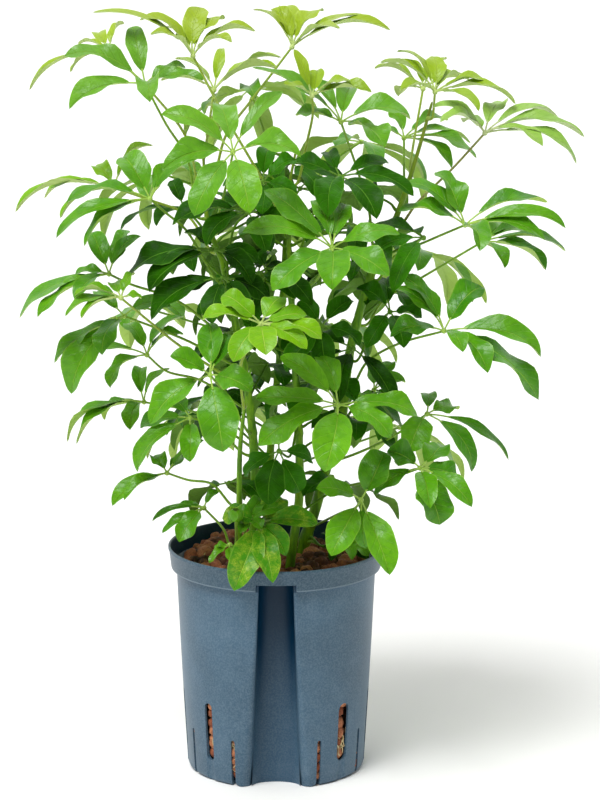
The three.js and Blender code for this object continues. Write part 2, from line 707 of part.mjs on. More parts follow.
    tone: 'shade', on: ['stem_main', 344], stalk: [[374, 326, 2]], hub: [390, 312, 10],
    faces: [0.1, 0.6], arch: 0.14,
    blades: [[422, 318, 4, 20], [404, 348, 26, 22], [356, 288, -20, 20], [386, 278, -30, 20],
      [366, 348, 28, 18]],
  },
  leaf_shade_middle: {
    tone: 'shade', on: ['stem_middle', 356], stalk: [[308, 340, 20]], hub: [322, 326, 36],
    faces: [0, 0.7], arch: 0.14,
    blades: [[360, 346, 12, 22], [326, 368, 30, 24], [286, 372, 22, 22], [352, 300, -18, 20],
      [300, 300, -20, 18]],
  },
};

// The rear of the plant isn't seen: leaves of the common kind, each with its blades round the hub by a
// rule. at: the hub's place in millimetres.
const rearLeaves = {
  leaf_rear_1: { on: ['stem_rear', 506], at: [-22, 84, 560] },
  leaf_rear_2: { on: ['stem_rear', 452], at: [-96, 92, 488] },
  leaf_rear_3: { on: ['stem_rear', 476], at: [72, 112, 512] },
  leaf_rear_4: { on: ['stem_rear', 404], at: [-24, 148, 432] },
  leaf_rear_5: { on: ['stem_rear', 386], at: [122, 108, 420] },
  leaf_rear_6: { on: ['stem_rear', 340], at: [-112, 108, 370] },
  leaf_rear_7: { on: ['stem_rear', 318], at: [48, 152, 346] },
  leaf_rear_8: { on: ['stem_rear', 250], at: [-52, 130, 278] },
  leaf_rear_9: { on: ['stem_rear', 236], at: [106, 104, 266] },
};

const rearRule = { blades: 7, reach: 64, width: 23, droop: 0.5, lean: 0.5 };

function grownBlades(hub, seed) {
  const draw = seededDraws(seed);
  const outward = new THREE.Vector3(hub.x, hub.y, 0).normalize();
  const upper = new THREE.Vector3(outward.x * rearRule.lean, outward.y * rearRule.lean, 1).normalize();
  const first = new THREE.Vector3().crossVectors(upper, new THREE.Vector3(0, 0, 1)).normalize();
  const second = new THREE.Vector3().crossVectors(upper, first);
  const blades = [];
  const turn = draw();
  for (let i = 0; i < rearRule.blades; i += 1) {
    const angle = 2 * Math.PI * (i + turn + 0.25 * draw()) / rearRule.blades;
    const away = first.clone().multiplyScalar(Math.cos(angle)).addScaledVector(second, Math.sin(angle));
    const reach = rearRule.reach * (0.82 + 0.1 * away.dot(outward) + 0.14 * draw());
    const tip = hub.clone().addScaledVector(away, reach);
    tip.z -= reach * rearRule.droop * (0.8 + 0.4 * draw());
    const [column, row] = pictured(tip);
    blades.push([column, row, hub.y - tip.y, rearRule.width * (0.9 + 0.2 * draw())]);
  }
  return blades;
}

function leafFrom(name, index) {
  if (name in leaves) {
    const { tone, on, stalk, hub, faces, arch, blades } = leaves[name];
    const route = stalk.map((place) => seen(...place));
    return { name, tone, on, route, hub: seen(...hub), nearer: hub[2], faces, arch, blades };
  }
  const { on, at } = rearLeaves[name];
  const hub = new THREE.Vector3(...at);
  const outward = new THREE.Vector3(hub.x, hub.y, 0).normalize().multiplyScalar(rearRule.lean);
  return {
    name, tone: 'leaf', on, route: [], hub, nearer: -hub.y, faces: [outward.x, -outward.y], arch: 0.14,
    blades: grownBlades(hub, 97 + 31 * index),
  };
}

function stalkCurve(leaf, stem) {
  const { centre, along, radius } = stemAt(stem, leaf.on[1]);
  const target = leaf.route.length > 0 ? leaf.route[0] : leaf.hub;
  const out = new THREE.Vector3(target.x - centre.x, target.y - centre.y, 0);
  out.addScaledVector(along, -out.dot(along)).normalize();
  const start = centre.clone().addScaledVector(out, radius + stalkGap);
  const bend = centre.clone().addScaledVector(out, radius + stalkBend.out);
  bend.z += stalkBend.up;
  return new THREE.CatmullRomCurve3([start, bend, ...leaf.route, leaf.hub], false, 'centripetal');
}

// One leaflet: its rib runs from the hub to the tip in a low arch, and its cross-sections are
// [share of the length, share of the half width]. Narrow leaflets have fewer.
const stations = [[0, 0], [stalklet, 0], [0.43, 0.98], [0.74, 1.02]];
const narrowStations = [[0, 0], [stalklet, 0], [0.6, 1.1]];
const narrow = 18.5;

function bladeFrom(leaf, tip, width) {
  const chord = tip.clone().sub(leaf.hub);
  const length = chord.length();
  const along = chord.clone().normalize();
  const upper = new THREE.Vector3(leaf.faces[0], -leaf.faces[1], 1);
  upper.addScaledVector(along, -upper.dot(along)).normalize();
  const side = new THREE.Vector3().crossVectors(along, upper);
  const sections = (width < narrow ? narrowStations : stations).map(([share, spread]) => {
    const centre = leaf.hub.clone().addScaledVector(chord, share);
    centre.addScaledVector(upper, length * leaf.arch * 4 * share * (1 - share));
    const half = Math.max(stalkletRadius, spread * width / 2);
    const lift = half * bladeFold;
    return [
      centre.clone().addScaledVector(side, -half).addScaledVector(upper, lift),
      centre.clone().addScaledVector(upper, -bladeKeel),
      centre.clone().addScaledVector(side, half).addScaledVector(upper, lift),
    ];
  });
  return { sections, tip };
}

// ---- keeping leaves clear of each other ----

function facesOf(blade) {
  const triangles = [];
  const rings = blade.sections.map(([left, , right]) => [left, right]);
  for (let i = 1; i < rings.length; i += 1) {
    triangles.push(new THREE.Triangle(rings[i - 1][0], rings[i - 1][1], rings[i][1]));
    triangles.push(new THREE.Triangle(rings[i - 1][0], rings[i][1], rings[i][0]));
  }
  const [left, right] = rings[rings.length - 1];
  triangles.push(new THREE.Triangle(left, right, blade.tip));
  return triangles;
}

function pointsOf(triangles) {
  const points = [];
  for (const { a, b, c } of triangles) {
    const longest = Math.max(a.distanceTo(b), b.distanceTo(c), c.distanceTo(a));
    const steps = Math.ceil(longest / sampleSpacing);
    for (let i = 0; i <= steps; i += 1) {
      for (let j = 0; j <= steps - i; j += 1) {
        const point = a.clone().multiplyScalar(1 - (i + j) / steps);
        point.addScaledVector(b, i / steps).addScaledVector(c, j / steps);
        points.push(point);
      }
    }
  }
  return points;
}

function shapeOf(owner, triangles, points, thickness) {
  const ball = new THREE.Sphere().setFromPoints(points);
  return { owner, triangles, points, thickness, ball };
}

function near(points, triangles, limit) {
  const foot = new THREE.Vector3();
  for (const triangle of triangles) {
    for (const point of points) {
      triangle.closestPointToPoint(point, foot);
      if (foot.distanceToSquared(point) < limit * limit) {
        return true;
      }
    }
  }
  return false;
}

function touchesPot(points) {
  const { inside, outside } = potClearance;
  return points.some((point) => {
    const radius = Math.hypot(point.x, point.y);
    const nearBed = radius < pot.rimRadius && point.z < bed.top + bed.dome + outside;
    const nearWall = radius > pot.rimRadius - inside && radius < pot.rimRadius + outside;
    return nearBed || (nearWall && point.z < pot.height + outside);
  });
}

function isClear(shape, placed) {
  if (touchesPot(shape.points)) {
    return false;
  }
  return placed.every((other) => {
    if (other.owner === shape.owner) {
      return true;
    }
    const limit = clearance + other.thickness;
    const reach = new THREE.Sphere(other.ball.center, other.ball.radius + limit);
    if (!shape.ball.intersectsSphere(reach)) {
      return true;
    }
    return !near(other.points, shape.triangles, limit) && !near(shape.points, other.triangles, limit);
  });
}

const swings = [0];
for (let swing = swingStep; swing <= swingLimit; swing += swingStep) {
  swings.push(swing, -swing);
}

// A leaflet that would cross another leaf hangs nearer or farther along the line of sight instead,
// as little as it takes.
function hangBlade(leaf, [column, row, nearer, width], placed) {
  for (const swing of swings) {
    const blade = bladeFrom(leaf, seen(column, row, leaf.nearer + nearer + swing), width);
    const faces = facesOf(blade);
    const shape = shapeOf(leaf.name, faces, pointsOf(faces.slice(2)), bladeKeel);
    if (isClear(shape, placed)) {
      placed.push(shape);
      return loft([...blade.sections, [blade.tip]]);
    }
  }
  throw new Error(`No room for a leaflet of ${leaf.name} at ${column}, ${row}`);
}

// ---- assembly ----

const plant = new THREE.Group();

function addPiece(name, geometry, colour, roughness) {
  const material = new THREE.MeshStandardMaterial({ color: colour, roughness, metalness: 0 });
  const mesh = new THREE.Mesh(geometry, material);
  mesh.name = name;
  plant.add(mesh);
}

const stems = Object.fromEntries(Object.keys(stemRoutes).map((name) => [name, stemFrom(name)]));
addPiece('pot', makePot(), colours.pot, 0.5);
addPiece('clay_granules', makeBed(Object.values(stems)), colours.clay, 0.95);

const placed = [];
for (const stem of Object.values(stems)) {
  addPiece(stem.name, makeStem(stem), colours.bark, 0.6);
  placed.push(shapeOf(stem.name, [], stem.curve.getSpacedPoints(160), stem.radii[0]));
}

const allLeaves = [...Object.keys(leaves), ...Object.keys(rearLeaves)].map(leafFrom);
for (const leaf of allLeaves) {
  leaf.curve = stalkCurve(leaf, stems[leaf.on[0]]);
  placed.push(shapeOf(leaf.name, [], leaf.curve.getSpacedPoints(60), 1));
}

for (const leaf of allLeaves) {
  const hub = new THREE.OctahedronGeometry(hubRadius, 0);
  hub.translate(...leaf.hub.toArray());
  const steps = THREE.MathUtils.clamp(Math.round(leaf.curve.getLength() / 20), 3, 6);
  const stalk = tube(leaf.curve, stopsFor(leaf.curve, steps), 3, stalkRadii);
  const blades = leaf.blades.map((place) => hangBlade(leaf, place, placed));
  addPiece(leaf.name, joined([stalk, hub, ...blades]), colours[leaf.tone], 0.45);
}

export default plant;
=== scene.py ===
# Umbrella plant in a hydroculture pot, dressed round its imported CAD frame. Metres, +Z up, front -Y.
import math
import random

import bpy
import bmesh
import numpy as np
from mathutils import Matrix, Vector


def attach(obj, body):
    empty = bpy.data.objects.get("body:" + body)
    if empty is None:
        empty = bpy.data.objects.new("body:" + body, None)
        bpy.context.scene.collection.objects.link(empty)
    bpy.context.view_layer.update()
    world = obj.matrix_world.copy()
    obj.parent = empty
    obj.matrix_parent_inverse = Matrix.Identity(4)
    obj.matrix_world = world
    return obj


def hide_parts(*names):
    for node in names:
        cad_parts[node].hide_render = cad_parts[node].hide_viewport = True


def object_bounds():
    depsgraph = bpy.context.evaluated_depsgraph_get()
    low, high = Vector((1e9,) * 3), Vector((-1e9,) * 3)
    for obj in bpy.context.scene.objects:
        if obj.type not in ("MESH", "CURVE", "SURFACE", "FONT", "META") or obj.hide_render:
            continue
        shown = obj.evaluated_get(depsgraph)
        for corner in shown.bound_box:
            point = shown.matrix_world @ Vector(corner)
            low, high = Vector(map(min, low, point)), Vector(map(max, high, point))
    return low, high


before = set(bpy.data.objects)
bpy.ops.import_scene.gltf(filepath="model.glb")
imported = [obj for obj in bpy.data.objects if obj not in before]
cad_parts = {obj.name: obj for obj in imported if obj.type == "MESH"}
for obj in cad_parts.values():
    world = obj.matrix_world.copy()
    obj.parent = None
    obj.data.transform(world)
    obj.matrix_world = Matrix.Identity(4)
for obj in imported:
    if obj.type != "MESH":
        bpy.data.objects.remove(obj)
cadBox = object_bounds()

mm = 0.001
anyTurn = 6.28          # random angles go up to this, just under a full turn
crease = dict(pot=32, plant=50, clay=60, bud=60)        # edges that turn by more degrees stay sharp
print('frame loaded:', len(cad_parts), 'nodes')


# A place on the plant is the column and row where it is seen in the 600 x 800 picture, and how many
# millimetres nearer than the pot's axis it lies. The camera below looks from the same spot.
view = dict(distance=2.770, height=0.922, tilt=math.radians(12.4), focal=3430, middle=(276, 400),
            picture=(600, 800), sensor=36, clipEnd=50)


def seen(column, row, nearer):
    rise = (view['middle'][1] - row) / view['focal']
    cos, sin = math.cos(view['tilt']), math.sin(view['tilt'])
    back = view['distance'] - nearer * mm
    drop = back * (rise * cos - sin) / (cos + rise * sin)
    away = back * cos - drop * sin
    return Vector(((column - view['middle'][0]) * away / view['focal'], -nearer * mm, view['height'] + drop))


def makeCamera():
    bpy.ops.object.camera_add(location=(0, -view['distance'], view['height']),
                              rotation=(math.pi / 2 - view['tilt'], 0, 0))
    camera = bpy.context.object
    wide, high = view['picture']
    camera.data.sensor_width = view['sensor']
    camera.data.lens = view['focal'] * view['sensor'] / high
    camera.data.shift_x = (wide / 2 - view['middle'][0]) / high
    camera.data.clip_end = view['clipEnd']
    bpy.context.scene.camera = camera


# small tools

def pick(*pieces):
    bpy.ops.object.select_all(action='DESELECT')
    for piece in pieces:
        piece.select_set(True)
    bpy.context.view_layer.objects.active = pieces[-1]


def chooseVerts(piece, test):
    mesh = bmesh.from_edit_mesh(piece.data)
    for vert in mesh.verts:
        vert.select = bool(test(vert.co))
    mesh.select_flush_mode()
    bmesh.update_edit_mesh(piece.data)


# makes one object of the pieces, at the origin, unrotated and unscaled
def joinAll(pieces, name):
    pick(*pieces)
    if len(pieces) > 1:
        bpy.ops.object.join()
    piece = bpy.context.object
    piece.name = piece.data.name = name
    bpy.ops.object.transform_apply(location=True, rotation=True, scale=True)
    return piece


def copied(piece, name):
    twin = bpy.data.objects.new(name, piece.data.copy())
    bpy.context.collection.objects.link(twin)
    return twin


def cut(piece, cutter, operation='DIFFERENCE'):
    pick(piece)
    boolean = piece.modifiers.new('cut', 'BOOLEAN')
    boolean.operation = operation
    boolean.solver = 'MANIFOLD'
    boolean.object = cutter
    bpy.ops.object.modifier_apply(modifier=boolean.name)


def remove(*pieces):
    for piece in pieces:
        bpy.data.objects.remove(piece)


def smooth(piece, degrees):
    pick(piece)
    bpy.ops.object.shade_smooth_by_angle(angle=math.radians(degrees))


def finishPiece(piece, finish, slot, *nodes):
    piece.data.materials.clear()
    piece.data.materials.append(finish)
    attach(piece, 'root')
    if nodes:
        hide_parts(*nodes)
    return piece


def lerp(a, b, share):
    return a + (b - a) * share


# a smooth path through the points, the same curve as the CAD's
def smoothPath(points, steps):
    ends = [points[0] * 2 - points[1], *points, points[-1] * 2 - points[-2]]
    path = []
    for a, b, c, d in zip(ends, ends[1:], ends[2:], ends[3:]):
        s, t, u = (math.sqrt((q - p).length) for p, q in ((a, b), (b, c), (c, d)))
        leave = ((b - a) / s - (c - a) / (s + t) + (c - b) / t) * t
        reach = ((c - b) / t - (d - b) / (t + u) + (d - c) / u) * t
        for i in range(steps):
            k = i / steps
            bend = (c - b) * 3 - leave * 2 - reach
            path.append(b + leave * k + bend * k ** 2 + ((b - c) * 2 + leave + reach) * k ** 3)
    path.append(points[-1])
    return path


# a round tube along a path, with a radius in millimetres for each of its points
def tube(name, path, radii, sides):
    bpy.ops.curve.primitive_bezier_curve_add(location=(0, 0, 0))
    curve = bpy.context.object
    curve.data.splines.clear()
    spline = curve.data.splines.new('POLY')
    spline.points.add(len(path) - 1)
    for point, place, radius in zip(spline.points, path, radii):
        point.co = (*place, 1)
        point.radius = radius
    curve.data.bevel_depth = mm
    curve.data.bevel_resolution = sides // 2 - 2
    curve.data.use_fill_caps = True
    pick(curve)
    bpy.ops.object.convert(target='MESH')
    piece = bpy.context.object
    piece.name = name
    for layer in list(piece.data.uv_layers):
        piece.data.uv_layers.remove(layer)
    piece.data.uv_layers.new(name='UVMap')
    return piece


# faces outwards, out of edit mode, and the object named
def closed(piece, name):
    bpy.ops.mesh.select_all(action='SELECT')
    bpy.ops.mesh.normals_make_consistent(inside=False)
    bpy.ops.object.mode_set(mode='OBJECT')
    return joinAll([piece], name)


# one value on every vertex, for the materials
def setMark(piece, mark, value):
    layer = piece.data.attributes.get(mark) or piece.data.attributes.new(mark, 'FLOAT', 'POINT')
    layer.data.foreach_set('value', np.full(len(piece.data.vertices), value, np.float32))


# materials

def rgb(code):          # a screen colour as the shader's linear one
    parts = [int(code[i:i + 2], 16) / 255 for i in (0, 2, 4)]
    return tuple(p / 12.92 if p < 0.04045 else ((p + 0.055) / 1.055) ** 2.4 for p in parts) + (1,)


class Wire:             # one socket's value, with the sums that are written on it
    def __init__(self, finish, socket):
        self.finish, self.socket = finish, socket

    def sum(self, operation, *values):
        return self.finish.add('Math', {'operation': operation}, dict(enumerate(values)))

    def __add__(self, other):
        return self.sum('ADD', self, other)

    def __radd__(self, other):
        return self.sum('ADD', other, self)

    def __sub__(self, other):
        return self.sum('SUBTRACT', self, other)

    def __rsub__(self, other):
        return self.sum('SUBTRACT', other, self)

    def __mul__(self, other):
        return self.sum('MULTIPLY', self, other)

    def __abs__(self):
        return self.sum('ABSOLUTE', self)

    def __mod__(self, other):
        return self.sum('MODULO', self, other)

    def __gt__(self, other):
        return self.sum('GREATER_THAN', self, other)

    def fade(self, low, high):      # 0 at low, 1 at high, smooth between
        ends = {0: self, 1: low, 2: high, 3: 0.0, 4: 1.0}
        return self.finish.add('MapRange', {'interpolation_type': 'SMOOTHSTEP'}, ends)


class Finish:           # a material, put together node by node
    def __init__(self, name, **fixed):
        self.material = bpy.data.materials.new(name)
        self.material.use_nodes = True
        self.tree = self.material.node_tree
        self.shader = self.tree.nodes['Principled BSDF']
        for socket, value in fixed.items():
            self.shader.inputs[socket.replace('_', ' ')].default_value = value

    def plug(self, socket, value):
        if isinstance(value, Wire):
            self.tree.links.new(value.socket, socket)
        else:
            socket.default_value = value

    def add(self, kind, settings, sockets, out=0):
        node = self.tree.nodes.new('ShaderNode' + kind)
        for key, value in settings.items():
            setattr(node, key, value)
        for key, value in sockets.items():
            self.plug(node.inputs[key], value)
        return Wire(self, node.outputs[out])

    def mix(self, share, first, second):
        return self.add('Mix', {'data_type': 'RGBA'}, {0: share, 6: first, 7: second}, out=2)

    def coats(self, colour, *layers):       # each layer is its share and its colour
        for share, tint in layers:
            colour = self.mix(share, colour, tint)
        return colour

    def place(self, scale):
        spot = self.add('TexCoord', {}, {}, out='Object')
        return self.add('Mapping', {}, {'Vector': spot, 'Scale': scale})

    def split(self, spot):
        outputs = self.add('SeparateXYZ', {}, {0: spot}).socket.node.outputs
        return [Wire(self, output) for output in outputs]

    def axes(self):
        return self.split(self.add('TexCoord', {}, {}, out='Object'))

    def noise(self, scale, detail, rough=0.5, stretch=(1, 1, 1)):
        sockets = {'Vector': self.place(stretch), 'Scale': scale, 'Detail': detail, 'Roughness': rough}
        return self.add('TexNoise', {}, sockets)

    def mark(self, name):
        return self.add('Attribute', {'attribute_name': name}, {}, out='Fac')

    def bump(self, height, strength, distance):
        sockets = {'Height': height, 'Strength': strength, 'Distance': distance * mm}
        self.plug(self.shader.inputs['Normal'], self.add('Bump', {}, sockets))

    def show(self, socket, value):
        self.plug(self.shader.inputs[socket], value)


# pot

# collar is a darker colour laid on the collar as painted shade; shadow is the painted shade of the recess,
# the inner wall and the strip under the collar; dust is real dust, and also the painted highlight along the
# collar's foot
pot = dict(height=190, rimRadius=90, collarDepth=19, collarFoot=87.6, neckRadius=83.4, footRadius=74.5,
           wall=2, floor=3, sides=144, smallest=0.003,
           colour=rgb('46647a'), deep=rgb('3a566a'), collar=rgb('304858'), dust=rgb('8799a5'),
           shadow=rgb('00304c'), rough=0.4)
channel = dict(top=178, topWidth=27.5, footWidth=40, topDepth=31, footDepth=21, hollow=0.6,
               topCorner=1.5, footCorner=9, cornerCurve=0.6, steps=6, beyond=1.3)
# a cut is its width, low end and high end; a dent is its radius, its depth at the foot, and the height
# at which it fades out
slots = dict(firstAngle=28, step=18.2, count=9, short=(3.6, -2, 40), long=(8.4, 18, 68), wide=11.5,
             inward=9, outward=12, roundness=0.49, dent=(9.5, 2.3, 38), dentSides=40)


def wallRadius(z):
    return lerp(pot['footRadius'], pot['neckRadius'], z / (pot['height'] - pot['collarDepth']))


def innerRadius(z):
    return wallRadius(z) - pot['wall']


# a circle at the first (radius, height), extruded ring by ring through the others
def turned(name, profile, sides):
    radius, z = profile[0]
    bpy.ops.mesh.primitive_circle_add(vertices=sides, radius=radius * mm, fill_type='NGON',
                                      location=(0, 0, z * mm), enter_editmode=True)
    piece = bpy.context.object
    for wide, high in profile[1:]:
        bpy.ops.mesh.extrude_region_move(TRANSFORM_OT_translate={'value': (0, 0, (high - z) * mm)})
        scale = wide / radius
        bpy.ops.transform.resize(value=(scale, scale, 1), center_override=(0, 0, high * mm))
        radius, z = wide, high
    return closed(piece, name)


# the recess's outline at a height: its round back, its sides, and the soft corners to the pot's wall
def channelOutline(z, extra):
    share = z / channel['top']
    half = lerp(channel['footWidth'], channel['topWidth'], share) / 2 + extra
    backY = -wallRadius(z) + lerp(channel['footDepth'], channel['topDepth'], share) + extra
    right = []
    for turn in range(0, 91, 9):
        angle = math.radians(turn)
        y = backY - half * channel['hollow'] * (1 - math.cos(angle))
        right.append((half * math.sin(angle), y))
    soften = max(0, min(1, share)) ** channel['cornerCurve']
    corner = lerp(channel['footCorner'], channel['topCorner'], soften)
    wall = wallRadius(z)
    middle = (half + corner, -math.sqrt((wall - corner) ** 2 - (half + corner) ** 2))
    end = math.atan2(middle[1], middle[0])
    for i in range(channel['steps'] + 1):
        angle = lerp(-math.pi, end, i / channel['steps'])
        right.append((middle[0] + corner * math.cos(angle), middle[1] + corner * math.sin(angle)))
    right.append((right[-1][0] * channel['beyond'], right[-1][1] * channel['beyond']))
    left = [(-x, y) for x, y in reversed(right[1:])]
    return [Vector((x * mm, y * mm, z * mm)) for x, y in right + left]


# a solid with that outline, from the low height to the high one
def channelCutter(name, extra, low, high):
    levels = [lerp(low, high, i / channel['steps']) for i in range(channel['steps'] + 1)]
    places = channelOutline(levels[0], extra)
    bpy.ops.mesh.primitive_circle_add(vertices=len(places), fill_type='NGON', location=(0, 0, 0),
                                      enter_editmode=True)
    piece = bpy.context.object
    mesh = bmesh.from_edit_mesh(piece.data)
    mesh.faces.ensure_lookup_table()
    for vert, place in zip(mesh.faces[0].verts, places):
        vert.co = place
    for z in levels[1:]:
        bpy.ops.mesh.extrude_region_move(TRANSFORM_OT_translate={'value': (0, 0, mm)})
        raised = channelOutline(z, extra)
        mesh = bmesh.from_edit_mesh(piece.data)
        for vert in mesh.verts:
            if vert.select:
                nearest = min(range(len(places)), key=lambda k: (places[k].xy - vert.co.xy).length)
                vert.co = raised[nearest]
        bmesh.update_edit_mesh(piece.data)
        places = raised
    return closed(piece, name)


# leans a cutter out by the reach that belongs to each height, and turns it to its place round the pot
def setRound(cutter, degrees, reach):
    for vert in cutter.data.vertices:
        vert.co.y -= reach(vert.co.z / mm) * mm
    cutter.rotation_euler = (0, 0, math.radians(degrees))
    bpy.ops.object.transform_apply(location=True, rotation=True, scale=True)
    return cutter


# a block that cuts one slot; its ends are round, but for the end that runs out of the foot
def slotCutter(shape, degrees):
    width, low, high = shape
    foot = pot['footRadius']
    inner, outer = foot - slots['inward'], foot + slots['outward']
    bpy.ops.mesh.primitive_cube_add(size=mm, location=(0, 0, 0))
    block = bpy.context.object
    block.location = (0, -(inner + outer) / 2 * mm, (low + high) / 2 * mm)
    block.scale = (width, outer - inner, high - low)
    bpy.ops.object.transform_apply(location=True, rotation=True, scale=True)
    near = 0.1 * mm
    ends = (high * mm,) if low < 0 else (low * mm, high * mm)
    bpy.ops.object.mode_set(mode='EDIT')
    bpy.ops.mesh.select_mode(type='EDGE')
    mesh = bmesh.from_edit_mesh(block.data)
    for edge in mesh.edges:
        a, b = (vert.co for vert in edge.verts)
        atEnd = any(max(abs(a.z - end), abs(b.z - end)) < near for end in ends)
        edge.select = atEnd and abs(a.x - b.x) < near
    bmesh.update_edit_mesh(block.data)
    bpy.ops.mesh.bevel(offset=width * slots['roundness'] * mm, segments=6, affect='EDGES')
    bpy.ops.mesh.select_mode(type='VERT')
    bpy.ops.object.mode_set(mode='OBJECT')
    return setRound(block, degrees, lambda z: wallRadius(z) - foot)


def slotShape(i, side):
    width, low, high = slots['short'] if i % 2 == 0 else slots['long']
    return (slots['wide'] if (i, side) == (1, 1) else width, low, high)


# a leaning rod: the shallow groove below a long slot, which fades out upwards
def dentCutter(degrees):
    radius, deep, high = slots['dent']
    bpy.ops.mesh.primitive_cylinder_add(vertices=slots['dentSides'], radius=radius * mm,
                                        depth=(high + 2) * mm, location=(0, 0, (high - 2) / 2 * mm))
    rod = bpy.context.object
    bpy.ops.object.transform_apply(location=True, rotation=True, scale=True)
    return setRound(rod, degrees, lambda z: wallRadius(z) + radius - deep * (1 - z / high))


# the wall's profile, up the outside and down the inside, then the recess with its housing, slots and dents
def makePot():
    top, wall, rim, foot = (pot[part] for part in ('height', 'wall', 'rimRadius', 'footRadius'))
    neck, neckRadius, collar = top - pot['collarDepth'], pot['neckRadius'], pot['collarFoot']
    outside = [(foot - 4.6, 0), (foot - 2.6, 0.5), (foot - 1, 1.8), (foot - 0.1, 4.2),
               (wallRadius(60), 60), (wallRadius(120), 120), (neckRadius - 0.4, neck - 0.8),
               (neckRadius + 0.4, neck), (collar - 0.9, neck + 0.7), (collar - 0.2, neck + 1.2),
               (collar, neck + 2), (rim - 0.7, top - 3.2), (rim - 0.1, top - 2.4), (rim, top - 1),
               (rim - 0.2, top - 0.3), (rim - 0.8, top)]
    inside = [(rim - 1.6, top - 0.1), (rim - 2.1, top - 0.8), (rim - 2.3, top - 3),
              (collar - wall, neck + 3.6), (innerRadius(neck), neck), (innerRadius(90), 90),
              (innerRadius(45), 45), (innerRadius(pot['floor']) - 2.4, pot['floor'])]
    shell = turned('pot_shell', outside + inside, pot['sides'])
    housing = channelCutter('housing', wall, 0.4, channel['top'] + wall)
    block = turned('block', [(foot - 1, 0.4), (neckRadius - 1, neck + 0.2), (collar - 1, neck + 2.2),
                             (rim - 1.2, top - 3)], pot['sides'])
    cut(housing, block, 'INTERSECT')
    cut(shell, housing, 'UNION')
    recess = channelCutter('recess', 0, -2, channel['top'])
    cut(shell, recess)
    cutters = []
    for i in range(slots['count']):
        for side in (1, -1):
            degrees = side * (slots['firstAngle'] + i * slots['step'])
            cutters.append(slotCutter(slotShape(i, side), degrees))
            if i % 2 == 1:
                cutters.append(dentCutter(degrees))
    for cutter in cutters:
        cut(shell, cutter)
    remove(housing, block, recess, *cutters)
    pick(shell)
    bpy.ops.object.mode_set(mode='EDIT')
    bpy.ops.mesh.select_all(action='SELECT')
    bpy.ops.mesh.remove_doubles(threshold=pot['smallest'] * mm)
    bpy.ops.object.mode_set(mode='OBJECT')
    smooth(shell, crease['pot'])
    print('pot:', len(shell.data.polygons), 'faces')
    return finishPiece(shell, potFinish(), 'pot_plastic', 'pot')


# grained plastic with dust, painted shade in the recess, on the inner wall, under the collar and over the
# whole collar, and a painted highlight along the collar's foot; in metres: the collar starts at 0.171, and
# the recess ends at 0.178
def potFinish():
    finish = Finish('potPlastic', Roughness=pot['rough'], IOR=1.48, Specular_IOR_Level=0.28)
    broad = finish.noise(14, 4, 0.55)
    grain = finish.noise(760, 2, 0.6)
    dust = finish.noise(55, 6, 0.7)
    runs = finish.noise(60, 4, 0.6, stretch=(1, 1, 0.08))
    x, y, z = finish.axes()
    low = z.fade(0.06, 0.0)
    # recess and sides mask the hollow of the recess for the painted shade that darkens it, most at its top
    # and towards its sides
    recess = abs(x).fade(0.0225, 0.0125) * (y + (z * 0.052 + pot['footRadius'] * mm)).fade(0.001, 0.014)
    recess = recess * (0 - y).fade(0.03, 0.036) * (1 - z.fade(0.177, 0.1795))
    sides = abs(x).fade(0.005, 0.013) * z.fade(0.03, 0.14) * 0.3
    # inside masks the inner wall above the bed and the thin strip just under the collar, for the painted
    # shade laid on them
    reach = finish.add('VectorMath', {'operation': 'LENGTH'}, {0: finish.place((1, 1, 0))}, out='Value')
    middle = z * 0.052 + z.fade(0.1705, 0.1712) * 0.0048 + 0.0735      # halfway through the wall
    inside = (reach - middle).fade(0, -0.0003) * z.fade(0.15, 0.165)
    colour = finish.coats(
        pot['deep'],
        (broad.fade(0.3, 0.7), pot['colour']),
        # painted shade: the collar is made darker all round
        (z.fade(0.1712, 0.1722) * 0.75, pot['collar']),
        (dust.fade(0.5, 0.85) * (0.16 + low * 0.2), pot['dust']),
        (runs.fade(0.58, 0.8) * 0.14, pot['dust']),
        (grain.fade(0.36, 0.66) * 0.24, pot['dust']),
        # painted highlight: a pale line along the collar's foot, in the dust colour
        (z.fade(0.1716, 0.172) * z.fade(0.1734, 0.1728) * 0.5, pot['dust']),
        # painted shade in the recess, darker towards its top and sides
        (recess * (sides + 0.45 + z.fade(0.06, 0.172) * 0.5), pot['shadow']),
        # painted shade on the inner wall and in the strip under the collar
        (inside * 0.8, pot['shadow']))
    finish.show('Base Color', colour)
    finish.show('Roughness', pot['rough'] + (broad - 0.5) * 0.15 + (grain - 0.5) * 0.2)
    finish.bump(grain * 0.6 + dust * 0.5, 0.5, 0.3)
    return finish.material


# clay granules and roots

bed = dict(top=167, level=169, layers=4, drop=5.6, pitch=8.9, rowPitch=0.87, shift=(0.25, 0.3),
           jitter=2.4, lift=(-1, 1.4), sunk=0.25, deepest=11, edge=0.6, push=4, fromWall=1.3,
           fromRecess=0.4, fromStem=0.55, radii=(3.3, 5.6), squash=(0.82, 1.12), kinds=6, lumps=0.16,
           seed=12, coreTint=0.02,
           heaps=((-34, 48, 14, 44), (42, 34, 5, 38)),      # x, y, rise, spread
           # tints: top varies at random; under keeps the lower layers near the dark colour as painted shade
           # between the granules; slot lifts the granules behind the slots towards orange as painted light
           tints=dict(top=(0, 1), under=(0, 0.3), slot=(0.6, 1.1)),
           brown=rgb('8a4828'), dark=rgb('33190b'), orange=rgb('cf8a60'), rough=0.9)
inSlot = dict(radii=(3.0, 4.8), wider=1.3, first=(5, 7), fromWall=(0, 1.6), aside=0.02, climb=(1.6, 2.1))
